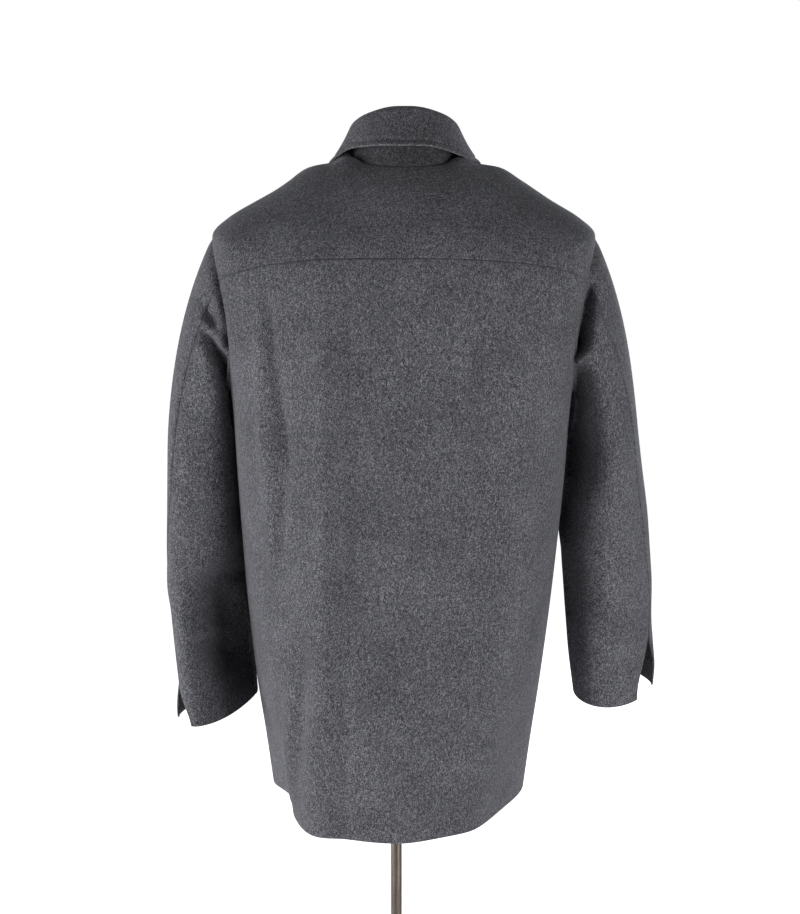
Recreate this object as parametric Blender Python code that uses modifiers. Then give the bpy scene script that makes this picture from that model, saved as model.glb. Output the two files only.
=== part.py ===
"""Grey wool car coat on a limbless dress form.

+X is the wearer's right, +Y the wearer's front, +Z up. The origin is the centre of the base's underside.
"""
import math

import bmesh
import bpy
from mathutils import Vector

# Cloth
CLOTH = 0.0022
COLLAR_CLOTH = 0.0030
SEAM_GAP = 0.0006
SLEEVE_SEAM_GAP = 0.0016
SLEEVE_GAP = 0.0003

# Steps for finding a surface's direction
SMALL_ANGLE = 0.8
SMALL_PLACE = 0.002

# Coat body: tilted rings from hem to neck, each with its height at back, side and front,
# half width, the depth of its back and front, the depth of its widest point and how square it is.
BODY_COLUMNS = ("z_back", "z_side", "z_front", "half", "back", "front", "mid_x", "mid_y", "square")
BODY_ROWS = (
    (0.6175, 0.624, 0.622, 0.176, -0.168, 0.206, -0.002, 0.085, 2.00),
    (0.690, 0.694, 0.692, 0.184, -0.167, 0.202, -0.002, 0.075, 2.05),
    (0.780, 0.784, 0.782, 0.195, -0.165, 0.195, -0.002, 0.060, 2.15),
    (0.900, 0.904, 0.900, 0.206, -0.161, 0.185, -0.001, 0.038, 2.30),
    (1.050, 1.052, 1.046, 0.216, -0.156, 0.170, 0.001, 0.014, 2.45),
    (1.165, 1.180, 1.150, 0.223, -0.154, 0.156, 0.002, 0.000, 2.70),
    (1.250, 1.285, 1.230, 0.239, -0.152, 0.148, 0.003, 0.000, 2.90),
    (1.330, 1.385, 1.300, 0.248, -0.147, 0.135, 0.005, -0.004, 2.60),
    (1.368, 1.406, 1.328, 0.230, -0.138, 0.126, 0.005, -0.004, 2.40),
    (1.408, 1.431, 1.352, 0.190, -0.121, 0.114, 0.005, -0.003, 2.20),
    (1.438, 1.457, 1.370, 0.151, -0.104, 0.104, 0.005, -0.001, 2.10),
    (1.456, 1.475, 1.382, 0.121, -0.089, 0.095, 0.005, 0.001, 2.00),
    (1.471, 1.479, 1.392, 0.072, -0.075, 0.085, 0.006, 0.005, 2.00),
)
ARMPIT_ROW = 5
SHOULDER_ROW = 7
COAT_SHIFT = 0.005

# Long soft folds in the body cloth: place round the body from the centre back, reach, half width, height.
FOLD_COLUMNS = ("angle", "low", "high", "spread", "height")
FOLD_ROWS = (
    (-21.0, 0.55, 1.34, 9.0, 0.0055),
    (-12.0, 0.55, 1.22, 9.0, -0.0040),
    (-43.0, 0.90, 1.34, 11.0, 0.0060),
    (-33.0, 0.95, 1.25, 7.0, -0.0040),
    (-34.0, 0.46, 0.82, 9.0, 0.0130),
    (-66.0, 0.46, 0.80, 9.0, -0.0170),
    (17.0, 0.46, 0.88, 9.0, -0.0060),
    (24.0, 0.80, 1.32, 9.0, -0.0045),
    (36.0, 0.85, 1.30, 11.0, 0.0050),
    (54.0, 0.46, 0.84, 12.0, -0.0080),
    (128.0, 0.55, 1.20, 12.0, 0.0060),
    (145.0, 0.60, 1.28, 10.0, -0.0040),
    (-132.0, 0.55, 1.14, 13.0, 0.0060),
    (-148.0, 0.70, 1.26, 10.0, -0.0035),
)

# Seams of the body
SEAM_ANGLE = 92.0
ARMHOLE_SPREAD = 26.0
YOKE_Z_CENTRE = 1.3576
YOKE_Z_END = 1.327
YOKE_CURVE = 2.0
OVERLAP_HALF = 0.020
OVERLAP_LIFT = CLOTH + 0.0012
OVERLAP_START = -0.095
OVERLAP_FULL = -0.048
OVERLAP_SIDE = (100.0, 140.0)

# Grid counts
BACK_COLUMNS = 22
FRONT_COLUMNS = 10
SKIRT_STEPS = 12
ARMHOLE_BACK_STEPS = 6
ARMHOLE_YOKE_STEPS = 3
ARMHOLE_FRONT_STEPS = 9
SHOULDER_STEPS = 5
CAP_STEPS = 6
SLEEVE_STEPS = 10

# Sleeves: sections below the cap, in distance out from the centre line. The cuff's plane rises forward.
SLEEVE_COLUMNS = ("z", "mid_x", "mid_y", "half_x", "half_y", "skew", "turn", "rise_x", "rise_y", "square")
SLEEVE_RIGHT_ROWS = (
    (1.100, 0.2735, 0.020, 0.0485, 0.080, -0.06, 18.0, 0.00, 0.00, 1.60),
    (1.000, 0.2785, 0.030, 0.0590, 0.076, 0.10, 34.0, 0.00, 0.02, 1.65),
    (0.900, 0.2855, 0.033, 0.0595, 0.071, 0.18, 46.0, 0.00, 0.08, 1.70),
    (0.830, 0.2895, 0.032, 0.0560, 0.066, 0.33, 50.0, 0.00, 0.15, 1.80),
    (0.767, 0.2915, 0.032, 0.0510, 0.060, 0.20, 48.0, 0.00, 0.20, 1.90),
)
SLEEVE_LEFT_ROWS = (
    (1.100, 0.2655, 0.020, 0.0435, 0.068, 0.00, 10.0, 0.00, 0.00, 3.40),
    (1.000, 0.2645, 0.026, 0.0475, 0.068, -0.04, 22.0, 0.00, 0.02, 3.00),
    (0.945, 0.2635, 0.029, 0.0450, 0.069, -0.28, 29.0, 0.00, 0.04, 2.10),
    (0.890, 0.2595, 0.031, 0.0400, 0.070, -0.42, 36.0, -0.02, 0.08, 1.80),
    (0.820, 0.2540, 0.033, 0.0390, 0.067, -0.44, 42.0, -0.04, 0.12, 1.85),
    (0.742, 0.2475, 0.034, 0.0390, 0.064, -0.42, 46.0, -0.05, 0.18, 1.90),
)

# Hollows in the backs of the sleeves, beside the body: from x, z to x, z, half width, depth.
HOLLOWS = {
    "right": (
        (0.239, 1.200, 0.241, 1.115, 0.0170, 0.0180),
        (0.237, 1.135, 0.227, 1.027, 0.0160, 0.0120),
        (0.230, 1.040, 0.236, 0.806, 0.0120, 0.0090),
    ),
    "left": (
        (-0.234, 1.206, -0.220, 1.155, 0.0130, 0.0110),
        (-0.216, 1.170, -0.205, 0.979, 0.0080, 0.0080),
        (-0.231, 0.890, -0.216, 0.771, 0.0250, 0.0120),
    ),
}
HOLLOW_SIDE = (0.1, 0.6)
HOLLOW_TAPER = 0.6
CAP_START = (0.45, 0.0, -0.89)
SMALL_DROP = 0.02
FRONT_SEAM_STEP = 6
VENT_LENGTH = 0.085
VENT_OPEN = 26.0
VENT_FLAP = 10.0
VENT_REACH = 3

# Creases round the sleeves: height, reach, place round the sleeve from its outer side, spread, height.
CREASE_COLUMNS = ("z", "reach", "angle", "spread", "lean", "height")
CREASE_ROWS = (
    (1.225, 0.022, 95.0, 45.0, 0.030, 0.0060),
    (1.180, 0.020, 110.0, 40.0, 0.040, -0.0060),
    (1.000, 0.024, 120.0, 60.0, 0.030, -0.0050),
    (0.955, 0.020, 100.0, 50.0, 0.025, 0.0040),
    (1.020, 0.026, 280.0, 50.0, -0.030, -0.0050),
    (0.900, 0.022, 300.0, 45.0, -0.020, -0.0040),
)

# Collar: sections round the neck from the centre back to the front end. The first row mirrors the third.
COLLAR_COLUMNS = ("angle", "stand", "lean", "drop", "out")
COLLAR_ROWS = (
    (-22.0, 0.0630, -0.023, 0.0462, 0.0310),
    (0.0, 0.0660, -0.025, 0.0475, 0.0310),
    (22.0, 0.0630, -0.023, 0.0462, 0.0310),
    (48.0, 0.0495, -0.016, 0.0458, 0.0280),
    (70.0, 0.0395, -0.012, 0.0450, 0.0270),
    (90.0, 0.0290, -0.010, 0.0345, 0.0260),
    (110.0, 0.0300, -0.007, 0.0370, 0.0300),
    (130.0, 0.0320, -0.002, 0.0520, 0.0340),
    (165.0, 0.0300, 0.006, 0.0680, 0.0400),
)
COLLAR_END = 165.0
COLLAR_STEPS = 32
STAND_STEPS = 3
ROLL_GAP = 0.0014
ROLL_RADIUS = 0.0060
ROLL_TURN = 140.0
ROLL_STEPS = 4
FALL_STEPS = 4
FALL_BOW = 0.25
POINT_SPREAD = 0.016
POINT_REACH = 50.0

# Buttons
BUTTON_HEIGHTS = (1.300, 1.155, 1.010, 0.865)
BUTTON_RADIUS = 0.0125
BUTTON_THICK = 0.0040
BUTTON_RIM = 0.0012
BUTTON_SIDES = 20
BUTTON_GAP = 0.0002

# Dress form: rings in the same terms as the coat body.
FORM_ROWS = (
    (0.800, 0.800, 0.800, 0.146, -0.104, 0.112, 0.0, 0.000, 2.2),
    (0.880, 0.880, 0.880, 0.158, -0.118, 0.118, 0.0, 0.000, 2.2),
    (1.020, 1.020, 1.020, 0.150, -0.110, 0.108, 0.0, 0.000, 2.2),
    (1.160, 1.160, 1.160, 0.172, -0.128, 0.122, 0.001, 0.000, 2.3),
    (1.270, 1.290, 1.250, 0.186, -0.132, 0.118, 0.003, -0.002, 2.4),
    (1.345, 1.385, 1.315, 0.194, -0.126, 0.106, 0.004, -0.003, 2.3),
    (1.398, 1.430, 1.346, 0.184, -0.112, 0.098, 0.005, -0.003, 2.2),
    (1.433, 1.4519, 1.364, 0.151, -0.097, 0.090, 0.005, -0.001, 2.1),
    (1.451, 1.4693, 1.377, 0.121, -0.082, 0.082, 0.005, 0.001, 2.0),
    (1.461, 1.4708, 1.390, 0.077, -0.066, 0.070, 0.006, 0.004, 2.0),
    (1.480, 1.4810, 1.430, 0.060, -0.056, 0.063, 0.006, 0.005, 2.0),
    (1.500, 1.500, 1.465, 0.058, -0.052, 0.060, 0.006, 0.006, 2.0),
    (1.520, 1.520, 1.512, 0.055, -0.048, 0.058, 0.006, 0.006, 2.0),
)
FORM_SIDES = 32
FORM_RINGS = 22

# Stand
POLE_RADIUS = 0.0075
POLE_SIDES = 20
BASE_RADIUS = 0.190
BASE_THICK = 0.010
BASE_SIDES = 48
BASE_EDGE = 0.003
HUB_RADIUS = 0.018
HUB_HEIGHT = 0.030
REST_GAP = 0.0003

for old in list(bpy.data.objects):
    bpy.data.objects.remove(old, do_unlink=True)

coat = bpy.data.collections.new("wool_coat")
bpy.context.scene.collection.children.link(coat)
origin = bpy.data.objects.new("stand_origin", None)
coat.objects.link(origin)
hang = bpy.data.objects.new("coat_hang", None)
hang.location.x = COAT_SHIFT
hang.parent = origin
coat.objects.link(hang)


def material(name, colour, roughness, metallic=0.0):
    """A plain surface of one colour."""
    made = bpy.data.materials.new(name)
    made.use_nodes = True
    shader = made.node_tree.nodes["Principled BSDF"]
    shader.inputs["Base Color"].default_value = (*colour, 1.0)
    shader.inputs["Roughness"].default_value = roughness
    shader.inputs["Metallic"].default_value = metallic
    return made


wool = material("grey_wool", (0.13, 0.13, 0.145), 0.95)
horn = material("dark_horn", (0.03, 0.028, 0.027), 0.35)
jersey = material("form_jersey", (0.62, 0.59, 0.54), 0.9)
steel = material("pole_steel", (0.16, 0.13, 0.11), 0.4, 0.8)


def curve_through(places, values, at):
    """A smooth curve through values at rising places, flat beyond the ends."""
    if at <= places[0]:
        return values[0]
    if at >= places[-1]:
        return values[-1]
    k = 0
    while at > places[k + 1]:
        k += 1
    last = len(places) - 1
    step = places[k + 1] - places[k]
    rise = (values[k + 1] - values[k]) / step
    slope_in = rise
    slope_out = rise
    if k > 0:
        slope_in = (values[k + 1] - values[k - 1]) / (places[k + 1] - places[k - 1])
    if k + 1 < last:
        slope_out = (values[k + 2] - values[k]) / (places[k + 2] - places[k])
    t = (at - places[k]) / step
    start = values[k] * (1 + 2 * t) * (1 - t) ** 2 + slope_in * step * t * (1 - t) ** 2
    end = values[k + 1] * t * t * (3 - 2 * t) + slope_out * step * t * t * (t - 1)
    return start + end


def soft_step(low, high, at):
    """Goes from 0 to 1 between low and high."""
    t = min(1.0, max(0.0, (at - low) / (high - low)))
    return t * t * (3 - 2 * t)


def hump(distance, reach):
    """A soft bump of height 1 that ends at reach."""
    t = abs(distance) / reach
    if t >= 1:
        return 0.0
    return (1 - t * t) ** 2


def columns_of(names, rows):
    """The rows of a table as one list for each named column."""
    return {name: [row[k] for row in rows] for k, name in enumerate(names)}


class Rings:
    """A smooth surface through tilted rings. Angles run from the centre back towards +X."""

    def __init__(self, rows):
        self.table = columns_of(BODY_COLUMNS, rows)
        self.places = [0.0]
        for k in range(1, len(rows)):
            side = self.table["z_side"][k] - self.table["z_side"][k - 1]
            across = self.table["half"][k] - self.table["half"][k - 1]
            self.places.append(self.places[-1] + math.hypot(side, across))
        self.top = self.places[-1]

    def size(self, name, place):
        return curve_through(self.places, self.table[name], place)

    def point(self, angle, place):
        turn = math.radians(angle)
        across = math.sin(turn)
        back = math.cos(turn)
        power = 2 / self.size("square", place)
        end = "back" if back > 0 else "front"
        middle = self.size("mid_y", place)
        depth = abs(self.size(end, place) - middle) * abs(back) ** power
        side_z = self.size("z_side", place)
        end_z = self.size("z_back" if back > 0 else "z_front", place)
        x = math.copysign(self.size("half", place) * abs(across) ** power, across)
        y = middle - math.copysign(depth, back)
        z = side_z + (end_z - side_z) * back * back
        return Vector((x + self.size("mid_x", place), y, z))

    def normal(self, angle, place):
        low = max(0.0, place - SMALL_PLACE)
        high = min(self.top, place + SMALL_PLACE)
        around = self.point(angle + SMALL_ANGLE, place) - self.point(angle - SMALL_ANGLE, place)
        upward = self.point(angle, high) - self.point(angle, low)
        return around.cross(upward).normalized()

    def front_angle(self, place, x):
        """The angle past the side at which the front reaches a distance x beyond the centre line."""
        power = self.size("square", place) / 2
        return 180.0 + math.degrees(math.asin((x / self.size("half", place)) ** power))


body = Rings(BODY_ROWS)
folds = [dict(zip(FOLD_COLUMNS, row)) for row in FOLD_ROWS]


def fold_height(angle, z):
    """How far the folds move the cloth out at a place on the body."""
    total = 0.0
    for fold in folds:
        away = (angle - fold["angle"] + 180) % 360 - 180
        middle = (fold["low"] + fold["high"]) / 2
        half = (fold["high"] - fold["low"]) / 2
        total += fold["height"] * hump(away, 2 * fold["spread"]) * hump(z - middle, half)
    return total


def cloth_point(angle, place, lift=0.0):
    """A point of the coat body with its folds, moved out by lift."""
    plain = body.point(angle, place)
    normal = body.normal(angle, place)
    return plain + normal * (fold_height(angle, plain.z) + lift)


armpit = body.places[ARMPIT_ROW]
shoulder = body.places[SHOULDER_ROW]
armhole_middle = (armpit + shoulder) / 2
armhole_half = (shoulder - armpit) / 2


def armhole(turn):
    """Angle and place of the armhole's edge, turning from the shoulder backwards."""
    turn = math.radians(turn)
    return SEAM_ANGLE - ARMHOLE_SPREAD * math.sin(turn), armhole_middle + armhole_half * math.cos(turn)


def halve(function, low, high):
    """Where a rising function crosses zero."""
    for _ in range(50):
        middle = (low + high) / 2
        if function(middle) < 0:
            low = middle
        else:
            high = middle
    return (low + high) / 2


yoke_turn = halve(lambda turn: YOKE_Z_END - body.point(*armhole(turn)).z, 10.0, 120.0)
yoke_angle = armhole(yoke_turn)[0]


def spaced(start, end, steps):
    return [start + (end - start) * k / steps for k in range(steps + 1)]


back_turns = spaced(180.0, yoke_turn, ARMHOLE_BACK_STEPS)
yoke_turns = spaced(yoke_turn, 0.0, ARMHOLE_YOKE_STEPS)
front_turns = spaced(-180.0, 0.0, ARMHOLE_FRONT_STEPS)
skirt_places = spaced(0.0, armpit, SKIRT_STEPS)
shoulder_places = spaced(shoulder, body.top, SHOULDER_STEPS)


def yoke_place(across):
    """Place of the yoke seam, from -1 at the left end to 1 at the right end."""
    height = YOKE_Z_CENTRE + (YOKE_Z_END - YOKE_Z_CENTRE) * abs(across) ** YOKE_CURVE
    return halve(lambda place: body.point(across * yoke_angle, place).z - height, armpit, body.top)


def coons(left, right, bottom, top):
    """Fill four edges of (angle, place) pairs. Rows run from bottom to top."""
    last_row = len(left) - 1
    last_column = len(bottom) - 1
    filled = []
    for j in range(last_row + 1):
        t = j / last_row
        row = []
        for i in range(last_column + 1):
            s = i / last_column
            pair = []
            for k in (0, 1):
                sides = left[j][k] * (1 - s) + right[j][k] * s
                ends = bottom[i][k] * (1 - t) + top[i][k] * t
                low = bottom[0][k] * (1 - s) + bottom[-1][k] * s
                high = top[0][k] * (1 - s) + top[-1][k] * s
                pair.append(sides + ends - low * (1 - t) - high * t)
            row.append(tuple(pair))
        filled.append(row)
    return filled


def trimmed(rows, gap):
    """The grid with each edge drawn in by a share of the seam's gap."""
    last_row = len(rows) - 1
    last_column = len(rows[0]) - 1
    made = [list(row) for row in rows]
    for i in range(last_column + 1):
        made[0][i] = rows[0][i] + (rows[1][i] - rows[0][i]).normalized() * gap
        made[-1][i] = rows[-1][i] + (rows[-2][i] - rows[-1][i]).normalized() * gap
    for j in range(last_row + 1):
        made[j][0] = made[j][0] + (rows[j][1] - rows[j][0]).normalized() * gap
        made[j][-1] = made[j][-1] + (rows[j][-2] - rows[j][-1]).normalized() * gap
    return made


def add(name, mesh, surface, holder=hang):
    mesh.materials.append(surface)
    made = bpy.data.objects.new(name, mesh)
    made.parent = holder
    coat.objects.link(made)
    return made


def sheet(name, rows, thick, surface):
    """A wall of cloth through a grid of points."""
    across = len(rows[0]) - 1
    along = len(rows) - 1
    shape = bmesh.new()
    bmesh.ops.create_grid(shape, x_segments=across, y_segments=along, size=0.5)
    for vertex in shape.verts:
        i = round((vertex.co.x + 0.5) * across)
        j = round((vertex.co.y + 0.5) * along)
        vertex.co = rows[j][i]
    for face in shape.faces:
        face.smooth = True
    mesh = bpy.data.meshes.new(name)
    shape.to_mesh(mesh)
    shape.free()
    made = add(name, mesh, surface)
    wall = made.modifiers.new("wall", "SOLIDIFY")
    wall.thickness = thick
    wall.offset = 0.0
    return made


def body_sheet(name, pairs, lift=None):
    rows = []
    for row in pairs:
        points = []
        for angle, place in row:
            raised = lift(angle, place) if lift else 0.0
            points.append(cloth_point(angle, place, raised))
        rows.append(points)
    return sheet(name, trimmed(rows, SEAM_GAP / 2), CLOTH, wool)


# Back and yoke
right_edge = [(SEAM_ANGLE, place) for place in skirt_places]
right_edge += [armhole(turn) for turn in back_turns[1:]]
left_edge = [(-angle, place) for angle, place in right_edge]
across_back = spaced(-1.0, 1.0, BACK_COLUMNS)
hem_line = [(s * SEAM_ANGLE, 0.0) for s in across_back]
yoke_line = [(s * yoke_angle, yoke_place(s)) for s in across_back]
body_sheet("back", coons(left_edge, right_edge, hem_line, yoke_line))

right_edge = [armhole(turn) for turn in yoke_turns]
right_edge += [(SEAM_ANGLE, place) for place in shoulder_places[1:]]
left_edge = [(-angle, place) for angle, place in right_edge]
neck_line = [(s * SEAM_ANGLE, body.top) for s in across_back]
body_sheet("yoke", coons(left_edge, right_edge, yoke_line, neck_line))


# Fronts
side_edge = [(SEAM_ANGLE, place) for place in skirt_places]
side_edge += [armhole(turn) for turn in front_turns[1:]]
side_edge += [(SEAM_ANGLE, place) for place in shoulder_places[1:]]
chest_places = skirt_places + spaced(armpit, body.top, len(side_edge) - len(skirt_places))[1:]
centre_edge = [(body.front_angle(place, OVERLAP_HALF), place) for place in chest_places]
across_front = spaced(0.0, 1.0, FRONT_COLUMNS)


def between(first, last):
    pairs = []
    for s in across_front:
        pairs.append((first[0] + (last[0] - first[0]) * s, first[1] + (last[1] - first[1]) * s))
    return pairs


def front_lift(angle, place):
    """The left front steps out where it lies over the right front."""
    x = body.point(angle, place).x - body.size("mid_x", place)
    inside = soft_step(*OVERLAP_SIDE, abs(angle))
    return OVERLAP_LIFT * inside * soft_step(OVERLAP_START, OVERLAP_FULL, x)


hem_line = between(side_edge[0], centre_edge[0])
neck_line = between(side_edge[-1], centre_edge[-1])
front_pairs = coons(side_edge, centre_edge, hem_line, neck_line)
body_sheet("front_right", front_pairs)
mirrored = [[(-angle, place) for angle, place in row] for row in front_pairs]
body_sheet("front_left", mirrored, front_lift)


# Sleeves
sleeve_turns = back_turns + yoke_turns[1:] + front_turns[::-1][1:]
creases = [dict(zip(CREASE_COLUMNS, row)) for row in CREASE_ROWS]


def crease_height(turn, z):
    """How far the creases move the sleeve's cloth out."""
    total = 0.0
    for crease in creases:
        away = (turn - crease["angle"] + 180) % 360 - 180
        middle = crease["z"] + crease["lean"] * away / crease["spread"]
        total += crease["height"] * hump(away, 2 * crease["spread"]) * hump(z - middle, 2 * crease["reach"])
    return total


def sleeve_point(table, side, turn, z, open_turn=0.0):
    """A point of the sleeve below its cap."""
    heights = [-value for value in table["z"]]

    def size(name):
        return curve_through(heights, table[name], -z)

    around = turn - size("turn") + open_turn
    bend = math.radians(around)
    swell = crease_height(around % 360, z)
    power = 2 / size("square")
    sine = math.sin(bend)
    cosine = math.cos(bend)
    along = -(size("half_y") + swell) * math.copysign(abs(sine) ** power, sine)
    across = (size("half_x") + swell) * math.copysign(abs(cosine) ** power, cosine)
    across += size("skew") * along
    rise = size("rise_x") * across + size("rise_y") * along
    return Vector((side * (size("mid_x") + across), size("mid_y") + along, z + rise))


def hollowed(point, turn, hollows):
    """A point of the sleeve, moved forward where its back is hollow."""
    depth = 0.0
    for from_x, from_z, to_x, to_z, width, height in hollows:
        start = Vector((from_x, from_z))
        run = Vector((to_x, to_z)) - start
        at = Vector((point.x + COAT_SHIFT, point.z)) - start
        share = min(1.0, max(0.0, at.dot(run) / run.length_squared))
        taper = 1 - HOLLOW_TAPER * (2 * share - 1) ** 2
        depth += height * taper * math.exp(-((at - run * share).length / width) ** 2)
    behind = soft_step(*HOLLOW_SIDE, math.sin(math.radians(turn)))
    return point + Vector((0, depth * behind, 0))


def sleeve(side_name, side, rows):
    table = columns_of(SLEEVE_COLUMNS, rows)
    hollows = HOLLOWS[side_name]
    elbow = table["z"][0]
    cuff = table["z"][-1]
    heights = spaced(elbow, cuff, SLEEVE_STEPS)
    heights_down = [-z for z in table["z"]]
    columns = []
    for turn in sleeve_turns:
        angle, place = armhole(turn)
        under = (1 - math.cos(math.radians(turn))) / 2
        start = cloth_point(side * angle, place, under * (CLOTH + SLEEVE_GAP))
        end = sleeve_point(table, side, turn, elbow)
        after = sleeve_point(table, side, turn, elbow - SMALL_DROP)
        reach = (end - start).length
        pull = Vector((side * CAP_START[0], CAP_START[1], CAP_START[2])).normalized() * reach
        leave = (after - end).normalized() * reach
        column = []
        for t in spaced(0.0, 1.0, CAP_STEPS):
            point = start * ((1 + 2 * t) * (1 - t) ** 2) + pull * (t * (1 - t) ** 2)
            point += end * (t * t * (3 - 2 * t)) + leave * (t * t * (t - 1))
            column.append(hollowed(point, turn, hollows) if t else point)
        column[0] = column[0] + (column[1] - column[0]).normalized() * SLEEVE_GAP
        columns.append(column)
    back_seam = ARMHOLE_BACK_STEPS
    front_seam = ARMHOLE_BACK_STEPS + ARMHOLE_YOKE_STEPS + FRONT_SEAM_STEP
    last = len(sleeve_turns) - 1

    def piece(name, order, vent_column, vent_turn):
        grid = []
        for step in range(CAP_STEPS + 1):
            grid.append([columns[k][step] for k in order])
        for z in heights[1:]:
            opened = soft_step(cuff + VENT_LENGTH, cuff, z) * vent_turn
            row = []
            for k in order:
                near = hump(order.index(k) - order.index(vent_column), VENT_REACH)
                turned = sleeve_turns[k] - curve_through(heights_down, table["turn"], -z)
                point = sleeve_point(table, side, sleeve_turns[k], z, opened * near)
                row.append(hollowed(point, turned, hollows))
            grid.append(row)
        sheet(name, trimmed(grid, SLEEVE_SEAM_GAP / 2), CLOTH, wool)

    top = list(range(back_seam, front_seam + 1))
    under = list(range(front_seam, last)) + list(range(0, back_seam + 1))
    piece("sleeve_" + side_name + "_top", top, back_seam, -VENT_FLAP)
    piece("sleeve_" + side_name + "_under", under, back_seam, VENT_OPEN)


sleeve("right", 1, SLEEVE_RIGHT_ROWS)
sleeve("left", -1, SLEEVE_LEFT_ROWS)


# Collar
collar = columns_of(COLLAR_COLUMNS, COLLAR_ROWS)


def collar_size(name, angle):
    return curve_through(collar["angle"], collar[name], abs(angle))


def collar_frame(angle):
    """The neck point at an angle, with the level directions out from and along the neck."""
    lift = front_lift(angle, body.top) if angle < 0 else 0.0
    base = cloth_point(angle, body.top, lift)
    along = body.point(angle + 1, body.top) - body.point(angle - 1, body.top)
    along.z = 0
    along.normalize()
    return base, along.cross(Vector((0, 0, 1))), along


def stand_point(angle, t):
    base, out, along = collar_frame(angle)
    height = SEAM_GAP + COLLAR_CLOTH / 2 + collar_size("stand", angle) * t
    return base + out * (collar_size("lean", angle) * t) + Vector((0, 0, height))


def fall_point(angle, step):
    base, out, along = collar_frame(angle)
    top = stand_point(angle, 1.0) + Vector((0, 0, ROLL_GAP))
    turn = math.radians(ROLL_TURN)
    rolled = min(step, ROLL_STEPS) / ROLL_STEPS * turn
    point = top + out * (ROLL_RADIUS * (1 - math.cos(rolled)))
    point += Vector((0, 0, ROLL_RADIUS * math.sin(rolled)))
    if step > ROLL_STEPS:
        t = (step - ROLL_STEPS) / FALL_STEPS
        near_end = soft_step(COLLAR_END - POINT_REACH, COLLAR_END, abs(angle))
        point += out * (collar_size("out", angle) * (t - FALL_BOW * t * (1 - t)))
        point += Vector((0, 0, -collar_size("drop", angle) * t))
        point -= along * math.copysign(POINT_SPREAD * t * near_end, angle)
    return point


collar_angles = spaced(-COLLAR_END, COLLAR_END, COLLAR_STEPS)
stand_rows = []
for t in spaced(0.0, 1.0, STAND_STEPS):
    stand_rows.append([stand_point(angle, t) for angle in collar_angles])
sheet("collar_stand", stand_rows, COLLAR_CLOTH, wool)
fall_rows = []
for step in range(ROLL_STEPS + FALL_STEPS + 1):
    fall_rows.append([fall_point(angle, step) for angle in collar_angles])
sheet("collar_fall", fall_rows, COLLAR_CLOTH, wool)


def disc(name, radius, thick, sides, edge, surface, holder):
    """A round plate standing on z = 0, with a rounded top edge."""
    shape = bmesh.new()
    bmesh.ops.create_cone(
        shape, cap_ends=True, segments=sides, radius1=radius, radius2=radius, depth=thick)
    bmesh.ops.translate(shape, verts=shape.verts, vec=(0, 0, thick / 2))
    mesh = bpy.data.meshes.new(name)
    shape.to_mesh(mesh)
    shape.free()
    made = add(name, mesh, surface, holder)
    if edge:
        soft = made.modifiers.new("edge", "BEVEL")
        soft.width = edge
        soft.segments = 2
        soft.limit_method = "ANGLE"
    return made


# Buttons on the left front, on the centre line
for number, height in enumerate(BUTTON_HEIGHTS, 1):
    place = halve(lambda at: body.point(180.0, at).z - height, 0.0, body.top)
    button = disc("button_" + str(number), BUTTON_RADIUS, BUTTON_THICK, BUTTON_SIDES, BUTTON_RIM, horn, hang)
    out = body.normal(180.0, place)
    button.location = cloth_point(180.0, place, OVERLAP_LIFT + CLOTH / 2 + BUTTON_GAP)
    button.rotation_euler = out.to_track_quat("Z", "Y").to_euler()


# Dress form
form = Rings(FORM_ROWS)
shape = bmesh.new()
bmesh.ops.create_uvsphere(shape, u_segments=FORM_SIDES, v_segments=FORM_RINGS, radius=1.0)
form_low = FORM_ROWS[0][0]
for vertex in shape.verts:
    rise = math.degrees(math.asin(max(-1.0, min(1.0, vertex.co.z)))) / 90
    angle = math.degrees(math.atan2(vertex.co.x, -vertex.co.y))
    ring = 2 / FORM_RINGS
    inner = min(1.0, (1 - abs(rise)) / ring)
    place = form.top * min(1.0, max(0.0, (rise + 1 - ring) / (2 - 2 * ring)))
    edge = form.point(angle, place)
    centre = Vector((form.size("mid_x", place), form.size("mid_y", place), edge.z))
    vertex.co = centre + (edge - centre) * inner
for face in shape.faces:
    face.smooth = True
mesh = bpy.data.meshes.new("form_torso")
shape.to_mesh(mesh)
shape.free()
add("form_torso", mesh, jersey)

# Pole and base
disc("base", BASE_RADIUS, BASE_THICK, BASE_SIDES, BASE_EDGE, steel, origin)
hub = disc("hub", HUB_RADIUS, HUB_HEIGHT, POLE_SIDES, BASE_EDGE, steel, origin)
hub.location.z = BASE_THICK + REST_GAP
pole_low = BASE_THICK + HUB_HEIGHT + 2 * REST_GAP
pole = disc("pole", POLE_RADIUS, form_low - REST_GAP - pole_low, POLE_SIDES, 0.0, steel, origin)
pole.location.z = pole_low
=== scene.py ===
import math

import bmesh
import bpy
import numpy as np
from mathutils import Matrix, Vector


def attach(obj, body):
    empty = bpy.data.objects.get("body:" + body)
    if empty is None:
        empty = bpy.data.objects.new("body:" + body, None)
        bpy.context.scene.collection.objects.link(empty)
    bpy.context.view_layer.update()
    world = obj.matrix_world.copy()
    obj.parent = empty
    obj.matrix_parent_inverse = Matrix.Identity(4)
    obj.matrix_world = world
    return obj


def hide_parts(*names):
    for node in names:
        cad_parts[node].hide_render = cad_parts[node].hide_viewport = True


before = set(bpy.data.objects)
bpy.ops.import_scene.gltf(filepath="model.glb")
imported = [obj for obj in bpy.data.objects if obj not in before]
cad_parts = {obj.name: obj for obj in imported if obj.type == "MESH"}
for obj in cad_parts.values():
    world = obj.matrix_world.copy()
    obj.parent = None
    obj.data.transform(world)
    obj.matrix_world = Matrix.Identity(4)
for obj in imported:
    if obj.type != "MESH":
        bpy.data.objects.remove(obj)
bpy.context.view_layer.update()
print("frame loaded,", len(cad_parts), "solids")

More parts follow.
